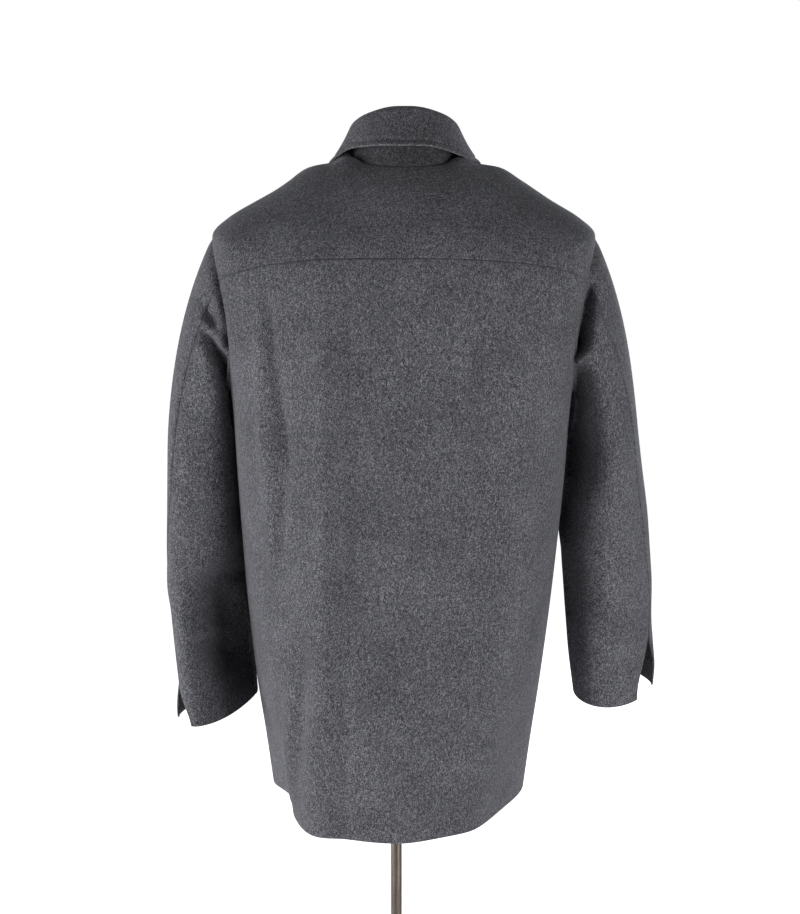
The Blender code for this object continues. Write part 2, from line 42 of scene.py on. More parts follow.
# Camera at the photograph's place
cameraView = {
    "place": (0.005, -2.155, 1.3795),
    "tilt": 82.4,           # degrees from straight down
    "focalPixels": 1626.0,
    "pictureHeight": 914.0,
    "sensor": 36.0,
}


def makeCamera(look):
    lens = bpy.data.cameras.new("photo_camera")
    lens.sensor_width = look["sensor"]
    lens.lens = look["focalPixels"] / look["pictureHeight"] * look["sensor"]
    made = bpy.data.objects.new("photo_camera", lens)
    made.location = look["place"]
    made.rotation_euler = (math.radians(look["tilt"]), 0.0, 0.0)
    bpy.context.scene.collection.objects.link(made)
    bpy.context.scene.camera = made


makeCamera(cameraView)
print("camera placed")


# Curves and small sums on arrays
def smoothCurve(places, values, at):
    at = np.clip(at, places[0], places[-1])
    k = np.clip(np.searchsorted(places, at, side="right") - 1, 0, len(places) - 2)
    rise = np.diff(values) / np.diff(places)
    inner = (values[2:] - values[:-2]) / (places[2:] - places[:-2])
    slope = np.concatenate([rise[:1], inner, rise[-1:]])
    step = places[k + 1] - places[k]
    t = (at - places[k]) / step
    start = values[k] * (1 + 2 * t) * (1 - t) ** 2 + slope[k] * step * t * (1 - t) ** 2
    end = values[k + 1] * t * t * (3 - 2 * t) + slope[k + 1] * step * t * t * (t - 1)
    return start + end


upright = np.array((0.0, 0.0, 1.0))
centreFront = 180.0         # degrees round from the centre back
halvings = 48               # in each search for a crossing
fineSteps = 1200            # points along a line that is measured
strokeTaper = 0.6           # how much lower a stroke is at its ends


def softStep(low, high, at):
    t = np.clip((at - low) / (high - low), 0.0, 1.0)
    return t * t * (3 - 2 * t)


def hump(distance, reach):
    t = np.clip(np.abs(distance) / reach, 0.0, 1.0)
    return (1 - t * t) ** 2


def unit(vectors):
    return vectors / np.maximum(np.linalg.norm(vectors, axis=-1, keepdims=True), 1e-12)


def around180(angle):
    return (angle + 180) % 360 - 180


def crossing(function, low, high):
    low, high = np.array(low, float), np.array(high, float)
    for _ in range(halvings):
        middle = (low + high) / 2
        under = function(middle) < 0
        low, high = np.where(under, middle, low), np.where(under, high, middle)
    return (low + high) / 2


def readTable(columns, rows):
    return {name: np.array([row[k] for row in rows], float) for k, name in enumerate(columns)}


def runLength(points):
    # Distance from the first point along a line of points
    return np.concatenate([[0.0], np.cumsum(np.linalg.norm(np.diff(points, axis=0), axis=1))])


def strokeHeight(x, z, strokes):
    # Soft troughs and ridges: each runs from (x, z) to (x, z), with a half width and a height
    total = np.zeros(np.shape(x))
    for fromX, fromZ, toX, toZ, width, height in strokes:
        runX, runZ = toX - fromX, toZ - fromZ
        along = np.clip(((x - fromX) * runX + (z - fromZ) * runZ) / (runX * runX + runZ * runZ), 0.0, 1.0)
        away = np.hypot(x - fromX - along * runX, z - fromZ - along * runZ)
        taper = 1 - strokeTaper * (2 * along - 1) ** 2
        total = total + height * taper * np.exp(-(away / width) ** 2)
    return total


# Coat body: tilted rings from hem to neck
ringColumns = ("zBack", "zSide", "zFront", "half", "back", "front", "midX", "midY", "square")
hangShift = 0.005           # the coat and the form hang a little to the right of the pole
coatBody = {
    "rows": (
        (0.6175, 0.624, 0.622, 0.176, -0.168, 0.206, -0.002, 0.085, 2.00),
        (0.690, 0.694, 0.692, 0.184, -0.167, 0.202, -0.002, 0.075, 2.05),
        (0.780, 0.784, 0.782, 0.195, -0.165, 0.195, -0.002, 0.060, 2.15),
        (0.900, 0.904, 0.900, 0.206, -0.161, 0.185, -0.001, 0.038, 2.30),
        (1.050, 1.052, 1.046, 0.216, -0.156, 0.170, 0.001, 0.014, 2.45),
        (1.165, 1.180, 1.150, 0.223, -0.154, 0.156, 0.002, 0.000, 2.70),
        (1.250, 1.285, 1.230, 0.239, -0.152, 0.148, 0.003, 0.000, 2.90),
        (1.330, 1.385, 1.300, 0.248, -0.147, 0.135, 0.005, -0.004, 2.60),
        (1.368, 1.406, 1.328, 0.230, -0.138, 0.126, 0.005, -0.004, 2.40),
        (1.408, 1.431, 1.352, 0.190, -0.121, 0.114, 0.005, -0.003, 2.20),
        (1.438, 1.457, 1.370, 0.151, -0.104, 0.104, 0.005, -0.001, 2.10),
        (1.456, 1.475, 1.382, 0.121, -0.089, 0.095, 0.005, 0.001, 2.00),
        (1.471, 1.479, 1.392, 0.072, -0.075, 0.085, 0.006, 0.005, 2.00),
    ),
    "armpitRow": 5,
    "shoulderRow": 7,
    "cloth": 0.0022,
    # Long hanging folds: angle from the centre back, low, high, spread, height
    "folds": (
        (-21.0, 0.55, 1.34, 9.0, 0.0055),
        (-12.0, 0.55, 1.22, 9.0, -0.0040),
        (-43.0, 0.90, 1.34, 11.0, 0.0060),
        (-33.0, 0.95, 1.25, 7.0, -0.0040),
        (-34.0, 0.46, 0.82, 9.0, 0.0130),
        (-66.0, 0.46, 0.80, 9.0, -0.0170),
        (17.0, 0.46, 0.88, 9.0, -0.0060),
        (24.0, 0.80, 1.32, 9.0, -0.0045),
        (36.0, 0.85, 1.30, 11.0, 0.0050),
        (54.0, 0.46, 0.84, 12.0, -0.0080),
        (128.0, 0.55, 1.20, 12.0, 0.0060),
        (145.0, 0.60, 1.28, 10.0, -0.0040),
        (-132.0, 0.55, 1.14, 13.0, 0.0060),
        (-148.0, 0.70, 1.26, 10.0, -0.0035),
    ),
    # Smaller creases behind: x, z to x, z, half width, height
    "backCreases": (
        (-0.094, 1.370, -0.090, 0.960, 0.0520, 0.0100),
        (-0.090, 1.060, -0.096, 0.600, 0.0520, 0.0100),
        (-0.089, 1.350, -0.084, 0.960, 0.0140, 0.0060),
        (-0.084, 1.060, -0.090, 0.620, 0.0140, 0.0066),
        (-0.066, 1.360, -0.061, 0.960, 0.0120, -0.0060),
        (-0.061, 1.060, -0.067, 0.620, 0.0120, -0.0062),
        (-0.171, 1.310, -0.162, 1.182, 0.0095, 0.0050),
        (-0.162, 1.182, -0.156, 1.056, 0.0095, 0.0066),
        (-0.156, 1.056, -0.153, 0.950, 0.0100, 0.0044),
        (-0.158, 1.310, -0.147, 1.205, 0.0080, -0.0054),
        (-0.147, 1.215, -0.133, 1.110, 0.0080, -0.0066),
        (-0.133, 1.120, -0.143, 0.985, 0.0085, -0.0054),
        (-0.130, 0.826, -0.134, 0.650, 0.0090, 0.0070),
        (-0.146, 0.757, -0.149, 0.665, 0.0085, -0.0050),
        (-0.112, 0.865, -0.115, 0.650, 0.0090, -0.0040),
        (0.112, 1.290, 0.110, 0.963, 0.0143, -0.0056),
        (0.152, 1.286, 0.151, 1.087, 0.0130, 0.0052),
        (0.038, 1.110, 0.036, 0.935, 0.0117, 0.0022),
        (0.014, 1.290, 0.010, 1.120, 0.0140, -0.0014),
        (0.063, 0.916, 0.056, 0.641, 0.0169, -0.0026),
        (0.184, 1.169, 0.177, 1.011, 0.0104, -0.0026),
        (0.131, 0.890, 0.125, 0.668, 0.0156, 0.0030),
    ),
    # The same in front
    "frontCreases": (
        (-0.122, 1.262, -0.095, 0.960, 0.0150, 0.0048),
        (-0.088, 1.190, -0.070, 0.840, 0.0140, -0.0042),
        (0.105, 1.275, 0.090, 1.010, 0.0140, 0.0044),
        (0.135, 1.140, 0.126, 0.760, 0.0170, -0.0046),
        (-0.150, 0.930, -0.142, 0.660, 0.0150, 0.0052),
        (-0.108, 0.800, -0.112, 0.650, 0.0130, -0.0038),
        (0.155, 0.900, 0.150, 0.670, 0.0140, 0.0050),
        (0.078, 0.860, 0.082, 0.660, 0.0160, 0.0034),
        (-0.172, 1.205, -0.128, 1.130, 0.0100, -0.0036),
        (0.175, 1.215, 0.126, 1.150, 0.0100, -0.0034),
    ),
    # Swells and dips on the shoulders: x, y, z, reach, height
    "swells": (
        (-0.151, 0.000, 1.447, 0.026, -0.0050),
        (-0.108, -0.012, 1.473, 0.017, -0.0022),
        (0.122, -0.008, 1.474, 0.017, -0.0022),
        (-0.061, -0.045, 1.471, 0.016, 0.0100),
        (0.083, -0.045, 1.471, 0.016, 0.0100),
        (-0.064, -0.018, 1.478, 0.013, 0.0125),
        (0.078, -0.018, 1.477, 0.013, 0.0085),
    ),
    "seamAngle": 92.0,
    "armholeSpread": 26.0,
    "yokeCentre": 1.3576,
    "yokeEnd": 1.327,
    "overlapHalf": 0.020,
    "overlapStart": -0.095,
    "overlapFull": -0.048,
    "overlapSide": (100.0, 140.0),
    "overlapGap": 0.0012,
    "creaseFacing": (0.0, 0.3),
    "yokeSearch": (10.0, 120.0),
}
coatBody["overlapLift"] = coatBody["cloth"] + coatBody["overlapGap"]


def makeRings(rows):
    rings = readTable(ringColumns, rows)
    steps = np.hypot(np.diff(rings["zSide"]), np.diff(rings["half"]))
    rings["place"] = np.concatenate([[0.0], np.cumsum(steps)])
    rings["top"] = rings["place"][-1]
    return rings


def ringSize(rings, name, place):
    return smoothCurve(rings["place"], rings[name], place)


def ringPoint(rings, angle, place):
    angle, place = np.broadcast_arrays(np.asarray(angle, float), np.asarray(place, float))
    turn = np.radians(angle)
    across, back = np.sin(turn), np.cos(turn)
    behind = back > 0
    size = {name: ringSize(rings, name, place) for name in ringColumns}
    power = 2 / size["square"]
    end = np.where(behind, size["back"], size["front"])
    endZ = np.where(behind, size["zBack"], size["zFront"])
    depth = np.abs(end - size["midY"]) * np.abs(back) ** power
    x = np.sign(across) * size["half"] * np.abs(across) ** power + size["midX"] + hangShift
    y = size["midY"] - np.where(behind, depth, -depth)
    z = size["zSide"] + (endZ - size["zSide"]) * back * back
    return np.stack([x, y, z], -1)


def ringNormal(rings, angle, place):
    smallTurn, smallRise = 0.8, 0.002
    around = ringPoint(rings, angle + smallTurn, place) - ringPoint(rings, angle - smallTurn, place)
    high = np.minimum(rings["top"], place + smallRise)
    low = np.maximum(0.0, place - smallRise)
    return unit(np.cross(around, ringPoint(rings, angle, high) - ringPoint(rings, angle, low)))


coatRings = makeRings(coatBody["rows"])
armpit = coatRings["place"][coatBody["armpitRow"]]
shoulder = coatRings["place"][coatBody["shoulderRow"]]
neck = coatRings["top"]


def foldHeight(angle, plain):
    x, z = plain[..., 0], plain[..., 2]
    facing = np.cos(np.radians(angle))
    behind, before = (softStep(*coatBody["creaseFacing"], way) for way in (facing, -facing))
    total = strokeHeight(x, z, coatBody["backCreases"]) * behind
    total = total + strokeHeight(x, z, coatBody["frontCreases"]) * before
    for *middle, reach, height in coatBody["swells"]:
        total = total + height * np.exp(-(np.linalg.norm(plain - middle, axis=-1) / reach) ** 2)
    for middle, low, high, spread, height in coatBody["folds"]:
        level = hump(z - (low + high) / 2, (high - low) / 2)
        total = total + height * hump(around180(angle - middle), 2 * spread) * level
    return total


def coatPoint(angle, place, lift=0.0):
    plain = ringPoint(coatRings, angle, place)
    out = foldHeight(angle, plain) + lift
    return plain + ringNormal(coatRings, angle, place) * out[..., None]


def armhole(turn):
    # The armhole's edge as angle and place, turning from the shoulder backwards
    turn = np.radians(turn)
    angle = coatBody["seamAngle"] - coatBody["armholeSpread"] * np.sin(turn)
    return angle, (armpit + shoulder) / 2 + (shoulder - armpit) / 2 * np.cos(turn)


def armholeZ(turn):
    return ringPoint(coatRings, *armhole(turn))[..., 2]


yokeTurn = float(crossing(lambda turn: coatBody["yokeEnd"] - armholeZ(turn), *coatBody["yokeSearch"]))
yokeAngle = float(armhole(yokeTurn)[0])


def placeAt(angle, z, low=0.0):
    # How far up the coat the line at an angle comes to a height
    low, high = np.full(np.shape(z), low), np.full(np.shape(z), neck)
    return crossing(lambda at: ringPoint(coatRings, angle, at)[..., 2] - z, low, high)


def yokePlace(across):
    height = coatBody["yokeCentre"] + (coatBody["yokeEnd"] - coatBody["yokeCentre"]) * across ** 2
    return placeAt(across * yokeAngle, height, armpit)


def frontLift(angle, place):
    # The left front steps out where it lies over the right one
    x = ringPoint(coatRings, angle, place)[..., 0] - ringSize(coatRings, "midX", place) - hangShift
    inside = softStep(*coatBody["overlapSide"], np.abs(angle))
    return coatBody["overlapLift"] * inside * softStep(coatBody["overlapStart"], coatBody["overlapFull"], x)


# Grids of cloth points
clothEdge = {
    "steps": np.array((0.0, 0.0001, 0.0004, 0.0008, 0.0013, 0.0022, 0.0034, 0.0050)),
    "seamRim": 0.0008,
    # Seams and topstitch grooves are darkened in colour over these reaches: partly the pressed cloth, partly
    # painted shade in the seams
    "pressShadeReach": 2.5,      # times a seam's own reach
    "stitchPressShade": 0.7,
    "turnUpEdge": 0.0015,
    "turnUpFade": 0.004,
}


def edgeSpaced(length, pitch):
    # Shares of a length, close together at both ends for the rounded edges and seams
    rim = clothEdge["steps"]
    count = max(2, int(round((length - 2 * rim[-1]) / pitch)))
    middle = np.linspace(rim[-1], length - rim[-1], count + 1)[1:-1]
    return np.concatenate([rim, middle, length - rim[::-1]]) / length


def edgeThrough(pairs):
    # An edge of a panel as a function of the share along it
    angles = np.concatenate([np.broadcast_to(p[0], np.shape(p[1])) for p in pairs])
    places = np.concatenate([np.asarray(p[1], float) for p in pairs])
    share = np.linspace(0.0, 1.0, len(angles))
    return lambda at: np.stack([np.interp(at, share, angles), np.interp(at, share, places)], -1)


def fillPatch(left, right, bottom, top, s, t):
    sGrid, tGrid = s[None, :, None], t[:, None, None]
    ends = np.array((0.0, 1.0))
    low, high = bottom(ends), top(ends)
    sides = left(t)[:, None] * (1 - sGrid) + right(t)[:, None] * sGrid
    caps = bottom(s)[None] * (1 - tGrid) + top(s)[None] * tGrid
    lowLine = low[0] * (1 - sGrid) + low[1] * sGrid
    highLine = high[0] * (1 - sGrid) + high[1] * sGrid
    return sides + caps - lowLine * (1 - tGrid) - highLine * tGrid


def evenAround(fromAngle, toAngle, place):
    # Turns an even share of the way round into a share of the angle
    share = np.linspace(0.0, 1.0, fineSteps)
    line = ringPoint(coatRings, fromAngle + (toAngle - fromAngle) * share, place)
    run = runLength(line)
    return lambda at: np.interp(at, run / run[-1], share)


def linkObject(name, mesh, surface):
    mesh.materials.append(surface)
    made = bpy.data.objects.new(name, mesh)
    bpy.context.scene.collection.objects.link(made)
    return made


def meshFrom(name, vertices, faces):
    mesh = bpy.data.meshes.new(name)
    mesh.from_pydata(vertices.tolist(), [], faces)
    mesh.polygons.foreach_set("use_smooth", np.ones(len(mesh.polygons), bool))
    mesh.update()
    return mesh


def gridQuads(index):
    return np.stack([index[:-1, :-1], index[:-1, 1:], index[1:, 1:], index[1:, :-1]], -1).reshape(-1, 4)


def edgeDistances(mid):
    up = np.linalg.norm(np.diff(mid, axis=0), axis=2)
    along = np.linalg.norm(np.diff(mid, axis=1), axis=2)
    low = np.concatenate([np.zeros((1, mid.shape[1])), np.cumsum(up, axis=0)])
    left = np.concatenate([np.zeros((mid.shape[0], 1)), np.cumsum(along, axis=1)], axis=1)
    return {"low": low, "high": low[-1:] - low, "left": left, "right": left[:, -1:] - left}


def gridNormals(mid, outward):
    return unit(np.cross(np.gradient(mid, axis=1), np.gradient(mid, axis=0))) * outward


def layCloth(piece, mid, surface):
    # A closed wall of cloth with round edges, on a grid of middle points
    outward = piece.get("outward", 1)
    away = edgeDistances(mid)
    normal = gridNormals(mid, outward)
    sink = np.zeros(mid.shape[:2])
    # The seam mask darkens the colour along sewn edges and stitch grooves: partly pressed cloth, partly
    # painted shade
    pressShade = np.zeros(mid.shape[:2])
    sewn = piece.get("sewn", {})
    for edge, (depth, reach) in sewn.items():
        sink = np.maximum(sink, depth * hump(away[edge], reach))
        pressShade = np.maximum(pressShade, hump(away[edge], clothEdge["pressShadeReach"] * reach))
    mid = mid - normal * sink[..., None]
    normal = gridNormals(mid, outward)
    radius = piece["thickness"] / 2
    rim = {edge: clothEdge["seamRim"] if edge in sewn else radius for edge in away}
    nearest = np.minimum.reduce([away[edge] * radius / rim[edge] for edge in away])
    half = radius * np.sqrt(1 - (1 - np.clip(nearest / radius, 0.0, 1.0)) ** 2)
    outer = half.copy()
    inner = half.copy()
    # Topstitch grooves sink the outer skin and add painted shade to the seam mask
    for edge, distance, width, depth in piece.get("stitched", ()):
        line = hump(away[edge] - distance, width)
        outer = outer - depth * line
        pressShade = np.maximum(pressShade, clothEdge["stitchPressShade"] * line)
    if "turnUp" in piece:
        edge, tall, layer = piece["turnUp"]
        shown = 1 - softStep(tall - clothEdge["turnUpEdge"], tall + clothEdge["turnUpEdge"], away[edge])
        shown = shown * softStep(0.0, clothEdge["turnUpFade"], nearest) * piece.get("turnUpShare", 1.0)
        inner = inner + layer * shown
    rows, columns = mid.shape[:2]
    outerIndex = np.arange(rows * columns).reshape(rows, columns)
    innerIndex = outerIndex.copy()
    innerIndex[1:-1, 1:-1] = rows * columns + np.arange((rows - 2) * (columns - 2)).reshape(rows - 2, -1)
    outerPoints = (mid + normal * outer[..., None]).reshape(-1, 3)
    innerPoints = (mid - normal * inner[..., None])[1:-1, 1:-1].reshape(-1, 3)
    front, behind = gridQuads(outerIndex), gridQuads(innerIndex)
    if outward > 0:
        behind = behind[:, ::-1]
    else:
        front = front[:, ::-1]
    walls = np.concatenate([front, behind]).tolist()
    mesh = meshFrom(piece["name"], np.concatenate([outerPoints, innerPoints]), walls)
    pressShadeValues = np.concatenate([pressShade.reshape(-1), pressShade[1:-1, 1:-1].reshape(-1)])
    mesh.attributes.new("pressShade", "FLOAT", "POINT").data.foreach_set("value", pressShadeValues.astype(np.float32))
    centreLeft = away["left"] - away["left"][:, -1:] / 2
    flat = np.stack([centreLeft, away["low"]], -1)
    flat = np.concatenate([flat.reshape(-1, 2), flat[1:-1, 1:-1].reshape(-1, 2)])
    corners = np.zeros(len(mesh.loops), np.int32)
    mesh.loops.foreach_get("vertex_index", corners)
    mesh.uv_layers.new(name="cut").data.foreach_set("uv", flat[corners].astype(np.float32).ravel())
    made = linkObject(piece["name"], mesh, surface)
    return made, mid + normal * outer[..., None], normal


# Shader groups and finishes
def addNode(tree, kind, x, y, **settings):
    node = tree.nodes.new(kind)
    node.location = (x, y)
    for name, value in settings.items():
        setattr(node, name, value)
    return node


def feed(tree, node, values):
    # Links or sets each input, by its name or number
    for key, value in values.items():
        if isinstance(value, bpy.types.NodeSocket):
            tree.links.new(value, node.inputs[key])
        else:
            node.inputs[key].default_value = value


def newGroup(name, inputs, outputs):
    tree = bpy.data.node_groups.new(name, "ShaderNodeTree")
    for label, kind, value in inputs:
        socket = tree.interface.new_socket(name=label, in_out="INPUT", socket_type=kind)
        if value is not None:
            socket.default_value = value
    for label, kind in outputs:
        tree.interface.new_socket(name=label, in_out="OUTPUT", socket_type=kind)
    return tree, addNode(tree, "NodeGroupInput", -900, 0), addNode(tree, "NodeGroupOutput", 900, 0)


def noiseAt(tree, vector, scale, detail, roughness, x, y):
    node = addNode(tree, "ShaderNodeTexNoise", x, y)
    feed(tree, node, {"Vector": vector, "Scale": scale, "Detail": detail, "Roughness": roughness})
    return node.outputs["Fac"]


def mathNode(tree, operation, first, second, x, y):
    node = addNode(tree, "ShaderNodeMath", x, y, operation=operation)
    feed(tree, node, {0: first, 1: second})
    return node.outputs[0]


def rangeNode(tree, value, span, x, y):
    # span is the low and high that it reads, and what they become where that isn't 0 and 1
    low, high, toLow, toHigh = (*span, 0.0, 1.0)[:4]
    node = addNode(tree, "ShaderNodeMapRange", x, y, interpolation_type="SMOOTHSTEP")
    feed(tree, node, {"Value": value, "From Min": low, "From Max": high, "To Min": toLow, "To Max": toHigh})
    return node.outputs[0]


def mixColour(tree, factor, first, second, x, y):
    node = addNode(tree, "ShaderNodeMix", x, y, data_type="RGBA")
    feed(tree, node, {0: factor, 6: first, 7: second})      # a mix of colours has its own sockets
    return node.outputs[2]


heatherLook = {
    "nap": (1.0, 1.0, 0.62),        # fibres stand a little taller than wide
    "fibre": (880.0, 2.0, 0.60),    # scale, detail and roughness of each noise
    "clump": (300.0, 2.0, 0.5),
    "cloud": (16.0, 2.0, 0.5),
    "shares": (0.72, 0.20, 0.08),
    "pale": (0.40, 0.50),
    "fleck": (0.51, 0.62),
    # Painted shade: how far seams and stitch grooves are drawn towards the dark fibres
    "pressShadeDark": 0.22,
    "clumpFuzz": 0.4,
    "rough": (0.3, 0.7, 0.98, 0.86),
}


def heatherGroup(look):
    # Felted wool of dark, middle and light fibres, with a short upright nap; its seam mask paints shade along
    # seams and stitch grooves
    tree, given, put = newGroup(
        "heatherWool",
        (("Place", "NodeSocketVector", None), ("PressShade", "NodeSocketFloat", 0.0),
         ("Dark", "NodeSocketColor", (0.03, 0.03, 0.03, 1)),
         ("Middle", "NodeSocketColor", (0.1, 0.1, 0.1, 1)),
         ("Light", "NodeSocketColor", (0.3, 0.3, 0.3, 1))),
        (("Colour", "NodeSocketColor"), ("Fuzz", "NodeSocketFloat"), ("Roughness", "NodeSocketFloat")))
    stretch = addNode(tree, "ShaderNodeVectorMath", -700, 0, operation="MULTIPLY")
    feed(tree, stretch, {0: given.outputs["Place"], 1: look["nap"]})
    nap = stretch.outputs[0]
    fibre = noiseAt(tree, nap, *look["fibre"], -500, 250)
    clump = noiseAt(tree, nap, *look["clump"], -500, 0)
    cloud = noiseAt(tree, given.outputs["Place"], *look["cloud"], -500, -250)
    weighed = [
        mathNode(tree, "MULTIPLY", value, share, -300, y)
        for value, share, y in zip((fibre, clump, cloud), look["shares"], (250, 50, -150))]
    mixed = mathNode(tree, "ADD", weighed[0], weighed[1], -150, 150)
    mixed = mathNode(tree, "ADD", mixed, weighed[2], 0, 100)
    pale = rangeNode(tree, mixed, look["pale"], 150, 250)
    fleck = rangeNode(tree, mixed, look["fleck"], 150, 0)
    colour = mixColour(tree, pale, given.outputs["Dark"], given.outputs["Middle"], 330, 250)
    colour = mixColour(tree, fleck, colour, given.outputs["Light"], 500, 200)
    # Painted shade along seams and stitch grooves, mixed in towards the dark fibres
    seamShade = mathNode(tree, "MULTIPLY", given.outputs["PressShade"], look["pressShadeDark"], 330, -100)
    colour = mixColour(tree, seamShade, colour, given.outputs["Dark"], 680, 150)
    tufts = mathNode(tree, "MULTIPLY", clump, look["clumpFuzz"], 330, -250)
    feed(tree, put, {
        "Colour": colour, "Fuzz": mathNode(tree, "ADD", mixed, tufts, 500, -200),
        "Roughness": rangeNode(tree, mixed, look["rough"], 500, -400)})
    return tree


def startMaterial(name):
    made = bpy.data.materials.new(name)
    made.use_nodes = True
    tree = made.node_tree
    return made, tree, tree.nodes["Principled BSDF"]


def objectPlace(tree):
    return addNode(tree, "ShaderNodeTexCoord", -900, 0).outputs["Object"]


def bumpFrom(tree, height, look):
    bump = addNode(tree, "ShaderNodeBump", -250, -300)
    feed(tree, bump, {"Height": height, "Strength": look["bump"], "Distance": look["bumpDepth"]})
    return bump.outputs["Normal"]


woolFinish = {
    "dark": (0.034, 0.034, 0.038, 1.0),
    "middle": (0.098, 0.098, 0.109, 1.0),
    "light": (0.250, 0.253, 0.278, 1.0),
    "sheen": 0.22,
    "sheenRoughness": 0.45,
    "sheenTint": (0.80, 0.82, 0.90, 1.0),
    "specular": 0.2,
    "bump": 0.55,
    "bumpDepth": 0.0010,
    "standPaintedShade": 0.55,     # painted shade: the stand's colours are scaled by this, for the shadow under the collar's fall
}
heather = heatherGroup(heatherLook)


def woolMaterial(name, finish):
    made, tree, shader = startMaterial(name)
    group = addNode(tree, "ShaderNodeGroup", -600, 0, node_tree=heather)
    # The seam mask that paints shade along seams and stitch grooves
    pressShade = addNode(tree, "ShaderNodeAttribute", -900, -250, attribute_name="pressShade")
    feed(tree, group, {
        "Place": objectPlace(tree), "PressShade": pressShade.outputs["Fac"],
        "Dark": finish["dark"], "Middle": finish["middle"], "Light": finish["light"]})
    feed(tree, shader, {
        "Base Color": group.outputs["Colour"], "Roughness": group.outputs["Roughness"],
        "Normal": bumpFrom(tree, group.outputs["Fuzz"], finish),
        "Sheen Weight": finish["sheen"], "Sheen Roughness": finish["sheenRoughness"],
        "Sheen Tint": finish["sheenTint"], "Specular IOR Level": finish["specular"]})
    return made


greyWool = woolMaterial("grey_wool", woolFinish)
# Painted shade: a darker copy of the wool for the collar stand, standing for the shadow under the collar's
# fall
standShadeFinish = {
    name: (*(woolFinish["standPaintedShade"] * part for part in woolFinish[name][:3]), 1.0)
    for name in ("dark", "middle", "light")}
paintedShadeWool = woolMaterial("stand_wool_painted_shade", dict(woolFinish, **standShadeFinish))
print("wool finish made")


def ridePiece(made, slot, *nodes):
    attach(made, "root")
    if nodes:
        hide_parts(*nodes)
    return made


# Back and yoke
plainSeam = (0.0013, 0.0030)                # depth and reach
yokeSeam = (0.0011, 0.0019)
hemTurnUp = ("low", 0.040, 0.0018)          # edge, height and second layer
evenPlace = 0.8 * armpit                    # where the columns are evenly spaced round the body
backPanel = {
    "name": "coat_back", "node": "back", "pitch": 0.0034,
    "width": 0.52, "length": 0.74, "thickness": coatBody["cloth"],
    "sewn": {"high": yokeSeam, "left": plainSeam, "right": plainSeam},
    "turnUp": hemTurnUp,
    "flat": (0.70, 0.76), "area": 0.471,
}
yokePanel = {
    "name": "coat_yoke", "node": "yoke", "pitch": 0.0034, "leastRise": 0.45, "riseFade": 8,
    "width": 0.52, "length": 0.19, "thickness": coatBody["cloth"],
    "sewn": {"low": yokeSeam, "high": plainSeam, "left": plainSeam, "right": plainSeam},
    "flat": (0.60, 0.22), "area": 0.093,
}
seamAngle = coatBody["seamAngle"]
edgeCounts = {"skirt": 301, "back": 91, "yoke": 51, "shoulder": 71, "front": 151}
skirtPlaces = np.linspace(0.0, armpit, edgeCounts["skirt"])
backTurns = np.linspace(180.0, yokeTurn, edgeCounts["back"])[1:]
yokeTurns = np.linspace(yokeTurn, 0.0, edgeCounts["yoke"])
shoulderPlaces = np.linspace(shoulder, neck, edgeCounts["shoulder"])[1:]


def mirrorEdge(edge):
    return lambda at: edge(at) * np.array((-1.0, 1.0))


def levelEdge(place):
    return lambda at: np.stack([(2 * at - 1) * seamAngle, place + 0 * at], -1)


def yokeLine(at):
    return np.stack([(2 * at - 1) * yokeAngle, yokePlace(2 * at - 1)], -1)


def gridShares(piece, fromAngle, toAngle):
    across = evenAround(fromAngle, toAngle, evenPlace)(edgeSpaced(piece["width"], piece["pitch"]))
    return across, edgeSpaced(piece["length"], piece["pitch"])


def backGrid(piece):
    right = edgeThrough([(seamAngle, skirtPlaces), armhole(backTurns)])
    s, t = gridShares(piece, -seamAngle, seamAngle)
    pairs = fillPatch(mirrorEdge(right), right, levelEdge(0.0), yokeLine, s, t)
    return coatPoint(pairs[..., 0], pairs[..., 1])


def steadyRise(places, t, least):
    # Keeps the rows of each column rising, between the same ends
    total = places[-1] - places[0]
    steps = np.maximum(np.diff(places, axis=0), least * total * np.diff(t)[:, None])
    steps = steps * total / steps.sum(axis=0)
    return np.concatenate([places[:1], places[0] + np.cumsum(steps, axis=0)])


def yokeGrid(piece):
    right = edgeThrough([armhole(yokeTurns), (seamAngle, shoulderPlaces)])
    s, t = gridShares(piece, -seamAngle, seamAngle)
    pairs = fillPatch(mirrorEdge(right), right, yokeLine, levelEdge(neck), s, t)
    least = piece["leastRise"] * (1 - (2 * s - 1) ** piece["riseFade"])
    return coatPoint(pairs[..., 0], steadyRise(pairs[..., 1], t, least))


coatBack, _, _ = layCloth(backPanel, backGrid(backPanel), greyWool)
ridePiece(coatBack, "wool", backPanel["node"])
coatYoke, _, _ = layCloth(yokePanel, yokeGrid(yokePanel), greyWool)
ridePiece(coatYoke, "wool", yokePanel["node"])
print("back and yoke laid")

# Fronts, the left one over the right
frontPanels = {
    "pitch": 0.0045, "width": 0.36, "length": 0.86, "thickness": coatBody["cloth"], "evenTo": 186.0,
    "stitchIn": 0.008, "stitchWidth": 0.0016, "stitchDepth": 0.0005,
    "flat": (0.33, 0.90), "area": 0.246,
}
frontTurns = np.linspace(-180.0, 0.0, edgeCounts["front"])[1:]


def offCentre(x, place):
    # Angle from the centre front to a spot that lies x aside from it
    power = ringSize(coatRings, "square", place) / 2
    return np.degrees(np.arcsin((x / ringSize(coatRings, "half", place)) ** power))


